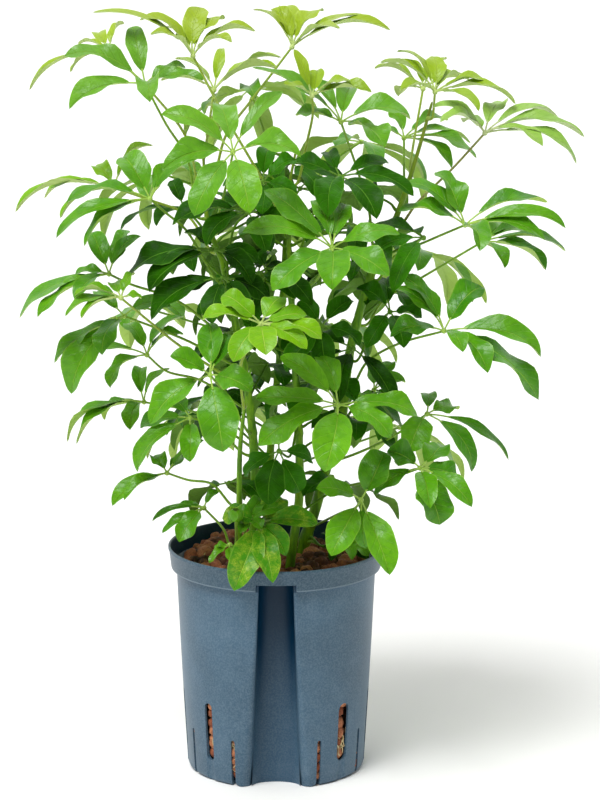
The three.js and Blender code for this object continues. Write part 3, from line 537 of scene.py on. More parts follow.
roots = dict(seed=5, radius=0.55, sides=4, steps=4, knots=5, colour=rgb('d9c89a'), old=rgb('a88a5a'),
             inSlots=30, inWideSlot=6, lowest=9, start=0.06, fromWall=(-1.6, 0.4), sway=0.05, climb=(2, 7),
             onTop=26, out=(20, 70), reach=74, fromRecess=6, lift=(1, 4), dip=5, stride=5, swerve=0.6,
             thickness=dict(slot=(0.7, 1.2), top=(0.5, 1)))


# a few rounded lumps, which the granules are copied from
def makeGranuleKinds():
    kinds = []
    for k in range(bed['kinds']):
        bpy.ops.mesh.primitive_cube_add(size=2, location=(0, 0, 0), enter_editmode=True)
        bpy.ops.mesh.subdivide(number_cuts=2)
        bpy.ops.transform.tosphere(value=1)
        bpy.ops.transform.vertex_random(offset=bed['lumps'], uniform=0.0, normal=0.6, seed=k + 1)
        bpy.ops.object.mode_set(mode='OBJECT')
        kinds.append(joinAll([bpy.context.object], f'granule_{k}'))
    return kinds


def placeGranule(kinds, draw, place, radius, where):
    granule = copied(draw.choice(kinds), 'granule')
    angle = draw.uniform(0, anyTurn)
    turn = Matrix.Rotation(angle, 4, (draw.gauss(0, 1), draw.gauss(0, 1), draw.gauss(0, 1)))
    size = Matrix.Diagonal((*(radius * mm * draw.uniform(*bed['squash']) for _ in range(3)), 1))
    granule.data.transform(Matrix.Translation(place) @ turn @ size)
    setMark(granule, 'tint', draw.uniform(*bed['tints'][where]))
    return granule


def inChannel(x, y, margin):
    back = channel['topDepth'] - wallRadius(bed['top']) + margin
    return abs(x) < channel['topWidth'] / 2 + margin and y < back


def bedHeight(x, y):
    rise = 0
    for a, b, high, wide in bed['heaps']:
        rise += high * math.exp(-((x - a) ** 2 + (y - b) ** 2) / wide ** 2)
    return bed['level'] + rise


# a core that isn't seen, layers of granules on top of it, and a column of granules behind each slot
def makeBed(stemFeet):
    draw = random.Random(bed['seed'])
    kinds = makeGranuleKinds()
    top = bed['top']
    core = turned('clay_bed', [(innerRadius(3) - 9, 3.4), (innerRadius(90) - 9, 90),
                               (innerRadius(top) - 4, top - 14), (30, top - 9)], 72)
    notch = channelCutter('notch', pot['wall'] + bed['fromRecess'], -4, pot['height'])
    cut(core, notch)
    remove(notch)
    # the core's near-dark tint is painted shade in the gaps between the granules
    setMark(core, 'tint', bed['coreTint'])
    pieces = [core]
    pitch, jitter = bed['pitch'], bed['jitter']
    rows = int(innerRadius(top) / pitch) + 2
    for layer in range(bed['layers']):
        for i in range(-rows, rows + 1):
            for j in range(-rows, rows + 1):
                x = (i + 0.5 * (j % 2) + bed['shift'][0] * layer) * pitch + draw.uniform(-jitter, jitter)
                y = (j + bed['shift'][1] * layer) * pitch * bed['rowPitch'] + draw.uniform(-jitter, jitter)
                radius = draw.uniform(*bed['radii'])
                z = bedHeight(x, y) - layer * bed['drop'] - radius * bed['sunk'] + draw.uniform(*bed['lift'])
                out = math.hypot(x, y)
                limit = innerRadius(min(z, top - 2)) - radius * bed['fromWall'] - bed['edge']
                if out > limit + bed['push'] or z < top - bed['deepest']:
                    continue
                if out > limit:
                    x, y = x * limit / out, y * limit / out
                if inChannel(x, y, pot['wall'] + radius + bed['fromRecess']):
                    continue
                if any(math.hypot(x - foot.x / mm, y - foot.y / mm) < thick + radius * bed['fromStem']
                       for foot, thick in stemFeet):
                    continue
                where = 'under' if layer else 'top'
                pieces.append(placeGranule(kinds, draw, Vector((x, y, z)) * mm, radius, where))
    for i in range(slots['count']):
        for side in (1, -1):
            angle = math.radians(side * (slots['firstAngle'] + i * slots['step']) - 90)
            width, low, high = slotShape(i, side)
            z = max(low, pot['floor']) + draw.uniform(*inSlot['first'])
            while z < high + 2:
                radius = draw.uniform(*inSlot['radii']) * (inSlot['wider'] if width == slots['wide'] else 1)
                out = innerRadius(z) - radius - draw.uniform(*inSlot['fromWall'])
                spread = angle + draw.uniform(-1, 1) * inSlot['aside']
                place = Vector((out * math.cos(spread), out * math.sin(spread), z)) * mm
                # the slot tints are painted light: these granules are brighter than their shade would leave
                # them
                pieces.append(placeGranule(kinds, draw, place, radius, 'slot'))
                z += radius * draw.uniform(*inSlot['climb'])
    print('granules:', len(pieces) - 1)
    remove(*kinds)
    whole = joinAll(pieces, 'clay_bed')
    smooth(whole, crease['clay'])
    return finishPiece(whole, clayFinish(), 'fired_clay', 'clay_granules')


def makeRoot(points, share):
    path = smoothPath(points, roots['steps'])
    return tube('root', path, [roots['radius'] * share] * len(path), roots['sides'])


# pale roots behind the slots and over the top of the bed
def makeRoots():
    draw = random.Random(roots['seed'])
    pieces = []
    for i in range(roots['inSlots']):
        index, side = draw.randrange(slots['count']), draw.choice((1, -1))
        if i < roots['inWideSlot']:
            index, side = 1, 1
        degrees = side * (slots['firstAngle'] + index * slots['step'])
        _, low, high = slotShape(index, side)
        highest = high * (0.45 if i < roots['inWideSlot'] else 0.8)
        z = draw.uniform(max(low + 4, roots['lowest']), highest)
        points = []
        angle = math.radians(degrees - 90) + draw.uniform(-1, 1) * roots['start']
        for k in range(roots['knots']):
            out = innerRadius(z) + draw.uniform(*roots['fromWall'])
            points.append(Vector((out * math.cos(angle), out * math.sin(angle), z)) * mm)
            angle += draw.uniform(-1, 1) * roots['sway']
            z += draw.uniform(*roots['climb']) * (1 if k % 4 else 0.6)
        pieces.append(makeRoot(points, draw.uniform(*roots['thickness']['slot'])))
    for i in range(roots['onTop']):
        out, angle = draw.uniform(*roots['out']), draw.uniform(0, anyTurn)
        x, y = out * math.cos(angle), out * math.sin(angle)
        heading = draw.uniform(0, anyTurn)
        points = []
        for k in range(roots['knots']):
            isEnd = k in (0, roots['knots'] - 1)
            z = bedHeight(x, y) + draw.uniform(*roots['lift']) - (roots['dip'] if isEnd else 0)
            if math.hypot(x, y) < roots['reach'] and not inChannel(x, y, roots['fromRecess']):
                points.append(Vector((x, y, z)) * mm)
            heading += draw.uniform(-1, 1) * roots['swerve']
            x += roots['stride'] * math.cos(heading)
            y += roots['stride'] * math.sin(heading)
        if len(points) > 2:
            pieces.append(makeRoot(points, draw.uniform(*roots['thickness']['top'])))
    whole = joinAll(pieces, 'roots')
    smooth(whole, crease['clay'])
    finish = Finish('root', Base_Color=roots['colour'], Roughness=0.6)
    grain = finish.noise(300, 3)
    finish.show('Base Color', finish.mix(grain.fade(0.4, 0.7), roots['colour'], roots['old']))
    print('roots:', len(pieces))
    return finishPiece(whole, finish.material, 'fired_clay')


def clayFinish():
    finish = Finish('firedClay', Roughness=bed['rough'])
    tint = finish.mark('tint')
    crust = finish.noise(160, 6, 0.65)
    pits = finish.noise(700, 4, 0.7)
    # tint near 0 gives the dark colour, the painted shade of the lower layers and the core; the high tints
    # of the granules behind the slots paint the light on them
    colour = finish.coats(
        bed['dark'],
        (tint.fade(0.02, 0.6), bed['brown']),
        (tint.fade(0.7, 1) * 0.75, bed['orange']),
        (crust.fade(0.45, 0.75) * 0.5, bed['orange']),
        (pits.fade(0.55, 0.35) * 0.5, bed['dark']))
    finish.show('Base Color', colour)
    finish.show('Roughness', bed['rough'] - crust * 0.2)
    finish.bump(crust + pits * 0.6, 0.8, 0.9)
    return finish.material


# stems

# the way of each stem as (column, row, nearer), and its radii at the foot and the tip
stemPlaces = {
    'stem_main': dict(
        radii=(5.4, 2.2),
        route=[(302, 560, -30), (316, 506, -28), (331, 450, -24), (343, 408, -20), (348, 362, -16),
               (357, 322, -12), (371, 275, -8), (386, 243, -4), (405, 193, 0), (420, 145, 2),
               (431, 106, 4)]),
    'stem_left': dict(
        radii=(4.6, 1.9),
        route=[(252, 567, 5), (255, 500, 6), (254, 450, 8), (246, 380, 10), (235, 320, 10), (222, 262, 8),
               (208, 225, 6), (205, 190, 4), (203, 146, 2)]),
    'stem_young': dict(
        radii=(3.4, 2),
        route=[(236, 575, 22), (239, 530, 26), (240, 450, 34), (245, 405, 44), (250, 372, 56)]),
    'stem_middle': dict(
        radii=(4.4, 1.9),
        route=[(290, 572, 12), (299, 500, 6), (299, 440, 2), (296, 380, 0), (292, 310, 0), (289, 243, 0),
               (289, 190, -2), (296, 150, -6)]),
    'stem_rear': dict(
        radii=(4.2, 2),
        route=[(270, 552, -46), (268, 500, -56), (272, 430, -66), (280, 350, -72), (284, 270, -78),
               (286, 200, -82), (282, 140, -78)]),
}
stemLook = dict(holeDepth=42, seat=0.3, uprightFoot=6, steps=6, sides=14, ringEvery=2.4, slender=0.97,
                jointSwell=0.16, jointReach=3.2, scarEvery=17, scarReach=1.1, scarSwell=0.05,
                tip=((0, 0.95), (1.6, 0.85), (3, 0.6), (3.8, 0.25)), tipShare=0.48, tipTaper=0.009,
                green=rgb('4c8606'), pale=rgb('82b012'), bark=rgb('4f4a17'), olive=rgb('7e8226'), rough=0.5)


def stemSpine(name):
    places = [seen(*place) for place in stemPlaces[name]['route']]
    foot, mouth = places[0].copy(), places[0].copy()
    foot.z = (bed['top'] - stemLook['holeDepth'] + stemLook['seat']) * mm
    mouth.z = (bed['top'] + stemLook['uprightFoot']) * mm
    return smoothPath([foot, mouth, *places[1:]], stemLook['steps'])


# the stem's middle, heading and radius at a height
def stemAt(name, z):
    spine = spines[name]
    i = next(k for k, place in enumerate(spine) if place.z > z * mm)
    share = (z * mm - spine[i - 1].z) / (spine[i].z - spine[i - 1].z)
    thick, thin = stemPlaces[name]['radii']
    heading = (spine[i] - spine[i - 1]).normalized()
    radius = lerp(thick, thin, (i - 1 + share) / (len(spine) - 1))
    return spine[i - 1].lerp(spine[i], share), heading, radius


# a tube that swells where a leaf joins it and at each leaf scar, and thins to a closed tip
def makeStem(name, joints, bark):
    spine = spines[name]
    thick, thin = stemPlaces[name]['radii']
    path, radii = [], []
    length = 0
    for i, (a, b) in enumerate(zip(spine, spine[1:])):
        pieces = max(2, round((b - a).length / mm / stemLook['ringEvery']))
        for k in range(pieces):
            place = a.lerp(b, k / pieces)
            share = (i + k / pieces) / (len(spine) - 1)
            swell = 0
            for joint in joints:
                near = (place.z / mm - joint) / stemLook['jointReach']
                swell = max(swell, math.exp(-near * near))
            fromScar = abs((length / mm) % stemLook['scarEvery'] - stemLook['scarEvery'] / 2)
            scar = stemLook['scarSwell'] * (fromScar < stemLook['scarReach'])
            girth = stemLook['slender'] + stemLook['jointSwell'] * swell + scar
            path.append(place)
            radii.append(lerp(thick, thin, share) * girth)
            length += (b - a).length / pieces
    heading = (spine[-1] - spine[-2]).normalized() * mm
    for step, share in stemLook['tip']:
        path.append(spine[-1] + heading * step)
        radii.append(thin * share)
    ends = [min(1, stemLook['tipShare'] + (len(path) - i) * stemLook['tipTaper']) for i in range(len(path))]
    stem = tube(name, path, [radius * end for radius, end in zip(radii, ends)], stemLook['sides'])
    smooth(stem, crease['plant'])
    return finishPiece(joinAll([stem], name + '_grown'), bark, 'green_bark', name)


def barkFinish():
    finish = Finish('greenBark', Roughness=stemLook['rough'], Specular_IOR_Level=0.3)
    streaks = finish.noise(55, 5, 0.6, stretch=(3, 3, 0.6))
    specks = finish.noise(420, 3, 0.6, stretch=(1, 1, 0.45))
    high = finish.axes()[2]
    old = 1 - high.fade(0.17, 0.42)
    colour = finish.coats(
        stemLook['green'],
        (streaks.fade(0.35, 0.7), stemLook['pale']),
        (streaks.fade(0.5, 0.34) * 0.5 * (0.3 + old * 0.4), stemLook['bark']),
        (high.fade(0.4, 0.54) * (0.3 + streaks * 0.6), stemLook['olive']),
        (specks.fade(0.6, 0.72) * 0.5, stemLook['bark']))
    finish.show('Base Color', colour)
    finish.show('Roughness', stemLook['rough'] + (specks - 0.5) * 0.3)
    finish.bump(streaks * 0.8 + specks * 0.5, 0.5, 0.5)
    return finish.material


# leaves

# Each leaf has the stem and the height in millimetres that it grows on, the way of its leaf stalk and its
# hub as (column, row, nearer), the way its upper side faces, and for each blade the column and row of the
# tip and the width. The tip itself is the CAD leaf's. Where that has none, a fourth number says how much
# nearer than the hub it lies.
leafPlaces = {
    'leaf_front_left': dict(
        tint=0.62, on=('stem_left', 452), stalk=[(226, 186, 62)], hub=(233, 152, 100), faces=(0, 0.75),
        arch=0.13,
        blades=[(250, 213, 27), (194, 216, 24), (163, 169, 20), (161, 114, 18), (219, 104, 20),
                (283, 91, 13), (301, 157, 21)]),
    'leaf_front_middle': dict(
        tint=0.42, on=('stem_middle', 400), stalk=[(318, 278, 60)], hub=(332, 248, 95), faces=(0, 0.75),
        blades=[(332, 290, 27), (272, 291, 26), (242, 232, 22), (264, 190, 21), (313, 200, 15),
                (345, 204, 16), (400, 234, 18), (389, 276, 24)]),
    'leaf_front_low': dict(
        tint=0.95, on=('stem_main', 262), stalk=[(329, 436, 62)], hub=(338, 405, 92), faces=(0, 0.8),
        arch=0.16,
        blades=[(325, 472, 31), (258, 446, 26), (255, 399, 19), (280, 356, 19), (318, 357, 18),
                (418, 416, 20), (391, 438, 20)]),
    'leaf_front_lower_left': dict(
        tint=0.3, on=('stem_left', 288), stalk=[(227, 396, 58)], hub=(210, 375, 98), faces=(-0.15, 0.8),
        arch=0.12,
        blades=[(223, 452, 33), (150, 424, 24), (170, 356, 19), (209, 323, 21), (228, 334, 19),
                (252, 391, 25)]),
    'leaf_young_front': dict(
        tone='young', tint=0.7, on=('stem_young', 318), stalk=[(241, 364, 84), (251, 345, 106)],
        hub=(261, 324, 124), faces=(0, 0.6), arch=0.16,
        blades=[(266, 355, 23), (202, 320, 19), (222, 295, 21), (282, 297, 19), (307, 315, 18),
                (322, 339, 18, 12), (307, 349, 17, 24), (233, 362, 20)]),
    'leaf_right_low': dict(
        tint=0.3, on=('stem_main', 232), stalk=[(376, 480, 20), (400, 475, 50)], hub=(420, 468, 72),
        faces=(0.1, 0.75), arch=0.12,
        blades=[(430, 508, 18), (472, 507, 16), (457, 478, 18), (441, 446, 22), (387, 451, 22),
                (374, 494, 15), (440, 525, 30)]),
    'leaf_low_middle': dict(
        tint=0.55, on=('stem_main', 200), stalk=[(343, 512, 40), (355, 508, 62)], hub=(361, 500, 82),
        faces=(0, 0.85), arch=0.1,
        blades=[(331, 556, 25), (390, 575, 24), (385, 452, 27), (316, 488, 21), (365, 548, 15)]),
    'leaf_over_rim': dict(
        tone='spotted', tint=0.6, on=('stem_left', 192), stalk=[(255, 540, 30)], hub=(259, 523, 48),
        faces=(0, 0.9), arch=0.17,
        blades=[(234, 591, 26), (273, 583, 22), (286, 556, 17), (257, 557, 12), (222, 518, 22),
                (283, 498, 22), (318, 524, 20)]),
    'leaf_right_long': dict(
        tint=0.2, on=('stem_main', 322), stalk=[(367, 362, 4), (398, 344, 26)], hub=(444, 331, 48),
        faces=(0.15, 0.4), arch=0.16,
        blades=[(541, 357, 26), (539, 400, 28), (488, 373, 20), (463, 352, 16), (483, 287, 23),
                (401, 275, 18), (388, 287, 17), (390, 337, 20)]),
    'leaf_right_upper': dict(
        tint=0.3, on=('stem_main', 414), stalk=[(394, 257, 8), (430, 240, 26)], hub=(465, 225, 42),
        faces=(0.1, 0.35),
        blades=[(480, 251, 22), (566, 228, 19), (548, 202, 19), (436, 172, 23), (406, 182, 19),
                (398, 211, 18), (545, 240, 17, 22)]),
    'leaf_right_inner': dict(
        tint=0.35, on=('stem_main', 374), stalk=[(383, 301, -14), (421, 278, -20)], hub=(482, 242, -22),
        faces=(0.2, 0.1),
        blades=[(566, 251, 17), (546, 270, 22), (505, 268, 15, 34), (505, 226, 17), (532, 234, 17)]),
    'leaf_right_top': dict(
        tone='pale', tint=0.7, on=('stem_main', 462), stalk=[(417, 203, 14), (452, 169, 20)],
        hub=(485, 133, 24), faces=(0.1, 0.18), arch=0.18,
        blades=[(585, 137, 16), (577, 164, 17), (543, 146, 17), (559, 119, 15, -14), (506, 103, 16),
                (463, 122, 16), (432, 107, 15), (440, 122, 15)]),
    'leaf_crown_main': dict(
        tone='young', tint=0.6, on=('stem_main', 548), stalk=[], hub=(435, 92, 14), faces=(0, 0.0),
        arch=0.15,
        blades=[(516, 104, 15), (479, 111, 17), (401, 90, 15), (380, 62, 14), (397, 51, 15),
                (434, 56, 16), (460, 75, 13, -20), (489, 84, 15, -8)]),
    'leaf_crown_rear': dict(
        tone='young', on=('stem_main', 496), stalk=[(411, 160, -22)], hub=(423, 89, -48),
        faces=(-0.1, -0.15),
        blades=[(408, 60, 14), (447, 58, 14), (374, 68, 14), (470, 79, 13), (398, 96, 13)]),
    'leaf_behind_right': dict(
        tint=0.5, on=('stem_main', 484), stalk=[(404, 168, -26)], hub=(404, 138, -48), faces=(0.1, 0.05),
        arch=0.16,
        blades=[(477, 158, 19), (471, 143, 17, -12), (448, 120, 15), (372, 132, 15), (388, 110, 15),
                (452, 168, 16)]),
    'leaf_upper_middle': dict(
        tone='shade', tint=0.45, on=('stem_middle', 436), stalk=[(316, 208, 8)], hub=(340, 177, 26),
        faces=(0, 0.5), arch=0.15,
        blades=[(328, 217, 24), (377, 219, 24), (414, 196, 20), (389, 163, 16), (328, 152, 15),
                (291, 163, 16)]),
    'leaf_upper_side': dict(
        tint=0.35, on=('stem_main', 436), stalk=[(369, 210, 2), (359, 175, 6)], hub=(341, 122, 12),
        faces=(0.1, 0.4), arch=0.15,
        blades=[(385, 147, 28), (411, 119, 24), (295, 115, 18), (252, 67, 16), (294, 76, 16),
                (352, 88, 17)]),
    'leaf_young_upper': dict(
        tone='young', on=('stem_middle', 492), stalk=[(307, 142, 10), (313, 112, 30)], hub=(312, 96, 38),
        faces=(0, 0.3), arch=0.12,
        blades=[(351, 81, 15), (372, 92, 15), (317, 70, 14), (294, 49, 10), (284, 84, 14)]),
    'leaf_top': dict(
        tone='young', on=('stem_left', 496), stalk=[(226, 135, -6), (250, 102, -4), (270, 76, 0)],
        hub=(292, 47, 2), faces=(0, 0.1), arch=0.16,
        blades=[(391, 30, 16, 4), (371, 17, 15, -8), (340, 28, 15), (324, 10, 19), (271, 9, 15),
                (253, 9, 14), (283, 7, 18)]),
    'leaf_top_left': dict(
        tone='young', on=('stem_middle', 470), stalk=[(266, 186, 2), (245, 150, 8), (218, 104, 12)],
        hub=(193, 56, 16), faces=(0, 0.12), arch=0.18,
        blades=[(92, 12, 16), (139, 20, 15, -14), (164, 28, 14), (201, 7, 20), (225, 18, 20),
                (256, 31, 15), (150, 34, 14), (232, 42, 15)]),
    'leaf_left_upper': dict(
        tint=0.4, on=('stem_left', 466), stalk=[(188, 160, 12), (166, 124, 18)], hub=(145, 84, 22),
        faces=(-0.1, 0.45), arch=0.13,
        blades=[(150, 102, 20), (69, 109, 21), (64, 56, 21), (133, 26, 17), (186, 67, 16),
                (204, 80, 15)]),
    'leaf_left_young': dict(
        tone='young', on=('stem_left', 488), stalk=[(187, 139, -14), (155, 96, -30)], hub=(109, 50, -40),
        faces=(-0.2, -0.15),
        blades=[(29, 90, 11), (70, 72, 9, 18), (99, 34, 12), (124, 23, 10), (78, 44, 10)]),
    'leaf_crown_left': dict(
        tone='young', on=('stem_left', 516), stalk=[(210, 118, -40)], hub=(214, 90, -58),
        faces=(0.1, -0.1), arch=0.15,
        blades=[(282, 57, 17), (278, 68, 17, 8), (175, 58, 16), (160, 80, 15), (222, 48, 10)]),
    'leaf_inner_olive': dict(
        tone='shade', on=('stem_middle', 450), stalk=[(276, 198, 24)], hub=(263, 182, 36),
        faces=(0.1, 0.5),
        blades=[(262, 214, 19), (296, 160, 15), (268, 150, 16), (222, 186, 17), (296, 196, 16)]),
    'leaf_inner_left': dict(
        tone='shade', tint=0.35, on=('stem_left', 424), stalk=[(234, 228, 34)], hub=(248, 212, 52),
        faces=(-0.1, 0.6),
        blades=[(172, 225, 21), (206, 246, 18), (266, 252, 19), (290, 226, 16), (222, 196, 15)]),
    'leaf_inner_dark': dict(
        tone='shade', tint=0.1, on=('stem_left', 400), stalk=[(226, 262, 28)], hub=(216, 250, 40),
        faces=(-0.2, 0.5), arch=0.15,
        blades=[(124, 281, 27), (149, 292, 26), (184, 232, 16), (252, 284, 18), (258, 262, 16)]),
    'leaf_inner_low': dict(
        tone='shade', tint=0.15, on=('stem_left', 372), stalk=[(228, 292, 36)], hub=(223, 278, 56),
        faces=(-0.1, 0.6), arch=0.15,
        blades=[(212, 324, 20), (151, 320, 26), (180, 296, 17), (270, 302, 18), (248, 322, 17)]),
    'leaf_left_wide': dict(
        tint=0.35, on=('stem_left', 414), stalk=[(186, 230, 30), (166, 213, 46)], hub=(150, 199, 56),
        faces=(-0.15, 0.35),
        blades=[(66, 203, 18), (56, 238, 17), (84, 246, 15), (123, 157, 25), (181, 163, 13),
                (197, 159, 11)]),
    'leaf_left_far': dict(
        tone='young', on=('stem_left', 438), stalk=[(188, 216, -12), (150, 200, -6)], hub=(114, 188, 0),
        faces=(-0.25, 0.0), arch=0.16,
        blades=[(15, 212, 15), (44, 198, 14), (60, 218, 13), (95, 166, 14), (153, 145, 12)]),
    'leaf_left_inner': dict(
        tone='shade', on=('stem_left', 448), stalk=[(196, 220, -24)], hub=(184, 208, -34),
        faces=(-0.1, -0.05),
        blades=[(120, 230, 16), (156, 226, 14), (172, 180, 14), (230, 206, 16)]),
    'leaf_left_tip': dict(
        tint=0.35, on=('stem_left', 366), stalk=[(176, 300, 24), (130, 284, 34)], hub=(109, 274, 38),
        faces=(-0.15, 0.4), arch=0.15,
        blades=[(19, 318, 20), (37, 317, 19, 22), (76, 302, 16), (75, 274, 13), (92, 232, 17),
                (128, 230, 16, -22), (141, 236, 12)]),
    'leaf_left_lime': dict(
        tone='young', on=('stem_left', 330), stalk=[(180, 346, 44), (150, 322, 62)], hub=(121, 298, 72),
        faces=(-0.15, 0.05), arch=0.15,
        blades=[(65, 316, 14), (81, 318, 13, 24), (74, 296, 12), (115, 284, 12), (134, 274, 10),
                (142, 298, 11)]),
    'leaf_left_broad': dict(
        tint=0.35, on=('stem_left', 344), stalk=[(190, 342, 10), (156, 328, 14)], hub=(124, 316, 18),
        faces=(-0.2, 0.55), arch=0.16,
        blades=[(54, 363, 16), (71, 394, 26), (102, 355, 22), (171, 306, 18), (96, 292, 14)]),
    'leaf_left_arch': dict(
        tint=0.5, on=('stem_left', 308), stalk=[(200, 380, -10), (166, 371, -14)], hub=(147, 355, -16),
        faces=(-0.15, 0.15), arch=0.2,
        blades=[(75, 367, 16), (110, 388, 18), (125, 324, 16), (184, 316, 16), (184, 334, 14, -2)]),
    'leaf_left_low': dict(
        tint=0.6, on=('stem_left', 276), stalk=[(200, 414, -20)], hub=(144, 402, -40), faces=(-0.2, 0.1),
        arch=0.2,
        blades=[(67, 442, 14, 2), (76, 444, 14, 16), (104, 420, 14), (130, 430, 16), (142, 368, 13),
                (170, 368, 12)]),
    'leaf_left_hanging': dict(
        tint=0.45, on=('stem_left', 268), stalk=[(212, 424, 10)], hub=(190, 418, 16), faces=(-0.2, 0.5),
        blades=[(137, 472, 23), (140, 428, 18), (190, 462, 17), (172, 398, 15)]),
    'leaf_lowest_left': dict(
        tint=0.45, on=('stem_young', 228), stalk=[(212, 484, 18), (188, 480, 8)], hub=(167, 473, 0),
        faces=(-0.2, 0.4), arch=0.13,
        blades=[(112, 506, 18), (124, 500, 13), (153, 456, 14), (190, 456, 14), (204, 440, 10)]),
    'leaf_rim_left': dict(
        on=('stem_young', 190), stalk=[(224, 530, 14)], hub=(204, 508, 4), faces=(-0.2, 0.7),
        blades=[(219, 490, 8), (178, 506, 7), (152, 521, 7), (162, 533, 9), (179, 542, 18)]),
    'leaf_rim_right': dict(
        on=('stem_main', 186), stalk=[(332, 548, 8)], hub=(346, 536, 16), faces=(0.1, 0.8),
        blades=[(369, 556, 11), (359, 516, 12), (352, 560, 12)]),
    'leaf_hanging_middle': dict(
        tone='shade', tint=0.7, on=('stem_middle', 286), stalk=[(290, 456, 34)], hub=(279, 451, 58),
        faces=(0, 0.9), arch=0.1,
        blades=[(268, 505, 25), (300, 492, 21), (244, 476, 16), (312, 462, 16), (282, 426, 16)]),
    'leaf_right_small': dict(
        tint=0.5, on=('stem_main', 296), stalk=[(360, 398, 6)], hub=(374, 390, 16), faces=(0.1, 0.3),
        arch=0.13,
        blades=[(406, 382, 15), (392, 362, 15), (366, 356, 14), (396, 404, 16), (360, 408, 14)]),
    'leaf_right_hanging': dict(
        tint=0.4, on=('stem_main', 258), stalk=[(360, 452, 0), (390, 438, 6)], hub=(427, 414, 10),
        faces=(0.2, 0.6), arch=0.16,
        blades=[(509, 460, 11), (472, 472, 18), (409, 452, 26), (454, 408, 18), (428, 394, 14)]),
    'leaf_shade_right': dict(
        tone='shade', tint=0.5, on=('stem_main', 344), stalk=[(374, 326, 2)], hub=(390, 312, 10),
        faces=(0.1, 0.45),
        blades=[(422, 318, 18), (404, 348, 19), (356, 288, 17), (386, 278, 17), (366, 348, 16)]),
    'leaf_shade_middle': dict(
        tone='shade', tint=0.6, on=('stem_middle', 356), stalk=[(308, 340, 20)], hub=(322, 326, 36),
        faces=(0, 0.55),
        blades=[(360, 346, 19), (326, 368, 21), (286, 372, 19), (352, 300, 17), (300, 300, 16)]),
}


rearPlaces = {          # the back isn't seen: the height on the rear stem, and the hub in millimetres
    'leaf_rear_1': (506, (-22, 84, 560)), 'leaf_rear_2': (452, (-96, 92, 488)),
    'leaf_rear_3': (476, (72, 112, 512)), 'leaf_rear_4': (404, (-24, 148, 432)),
    'leaf_rear_5': (386, (122, 108, 420)), 'leaf_rear_6': (340, (-112, 108, 370)),
    'leaf_rear_7': (318, (48, 152, 346)), 'leaf_rear_8': (250, (-52, 130, 278)),
    'leaf_rear_9': (236, (106, 104, 266)),
}
smallPlaces = {         # little leaves that the CAD model leaves out
    'sprout_left': dict(
        on=('stem_left', 186), stalk=[(238, 548, 28)], hub=(230, 545, 34), faces=(-0.2, 0.7), arch=0.1,
        blades=[(209, 563, 8, 12), (214, 548, 7, 2), (232, 562, 7, 16), (246, 552, 8, 10)]),
    'sprout_right': dict(
        tone='shade', on=('stem_main', 190), stalk=[(322, 546, 0)], hub=(336, 541, 10), faces=(0.2, 0.8),
        arch=0.12,
        blades=[(369, 559, 11, 16), (352, 533, 10, -14), (331, 561, 9, 18), (322, 533, 9, -12),
                (357, 546, 10, 6)]),
    'sprout_middle': dict(
        on=('stem_young', 196), stalk=[], hub=(247, 522, 44), faces=(0.1, 0.8), arch=0.16,
        blades=[(262, 500, 15, -10), (229, 506, 12, -6), (283, 507, 16, 2), (240, 533, 10, 20),
                (262, 529, 13, 18)]),
}
usualLeaf = dict(tone='leaf', arch=0.14)
tipRule = dict(onPicture=2, fromHub=9, fromRearHub=25, cellsPerMetre=20000)
rearRule = dict(width=18, lean=0.5)
blade = dict(stalkShare=0.17, across=4, thick=0.7, fold=(0.06, 0.32), wave=(0.0255, 0.119), twist=0.26,
             sickle=0.06, hook=(0, 0.07), uneven=0.08, stalklet=0.75, ripples=9, notches=14, notch=0.05,
             ribDepth=0.35, underRib=1.6, peak=0.68, pastPeak=0.32, ownTint=0.45, calmer=(1, 0.6, 0.3, 0),
             rows=(0, 0.04, 0.1, 0.18, 0.28, 0.38, 0.48, 0.57, 0.66, 0.74, 0.81, 0.87, 0.92, 0.96, 1),
             widths=(0.07, 0.2, 0.4, 0.61, 0.8, 0.92, 0.98, 1, 0.965, 0.88, 0.76, 0.61, 0.44, 0.25, 0.03))
bud = dict(place=(236, 515, 60), on=('stem_young', 186), radius=4.8, leaflets=5, stalk=1.2, seed=4,
           polar=(2.7, 0.35), shorter=0.1, turn=2.4, wide=1.15, spiral=0.9, layer=0.35, edge=0.5,
           thick=0.35, tall=1.1, tints=(0.5, 1), sag=3)
petiole = dict(sunk=0.4, beyond=1, out=6, up=2.5, base=2.1, foot=1.35, end=0.95, hub=2.3, sides=8,
               steps=7, swollen=12)
leafLooks = {
    'leaf': dict(
        slot='leaf_green', face=rgb('72b614'), dark=rgb('297407'), pale=rgb('8fb94e'), rib=rgb('97c53f'),
        under=rgb('b2d462'), stalk=rgb('74a418'), rough=0.32, gloss=0.45, sunny=0.3),
    'young': dict(
        slot='leaf_young', face=rgb('84bc0a'), dark=rgb('4a9206'), pale=rgb('b0bc32'), rib=rgb('c2dd5c'),
        under=rgb('c8dc88'), stalk=rgb('94b224'), rough=0.35, gloss=0.42, sunny=0.6),
    # pale is a lighter copy of the green leaf: painted light for the sheen on the top-right leaf
    'pale': dict(
        slot='leaf_green', face=rgb('98c444'), dark=rgb('62a41e'), pale=rgb('b4cc7c'), rib=rgb('bdd480'),
        under=rgb('cbdca0'), stalk=rgb('87842c'), rough=0.34, gloss=0.5, sunny=0.5),
    'spotted': dict(
        slot='leaf_green', face=rgb('4f9a0c'), dark=rgb('2f7a06'), pale=rgb('b9cc3c'), rib=rgb('a9cf4c'),
        under=rgb('8fae60'), stalk=rgb('74a418'), rough=0.36, gloss=0.4, sunny=0, spots=0.7),
    'shade': dict(
        slot='leaf_shaded', face=rgb('387e02'), dark=rgb('123600'), pale=rgb('3f7f1c'), rib=rgb('6ba632'),
        under=rgb('6f9a3c'), stalk=rgb('5c8a14'), rough=0.42, gloss=0.12, sunny=0.2),
}


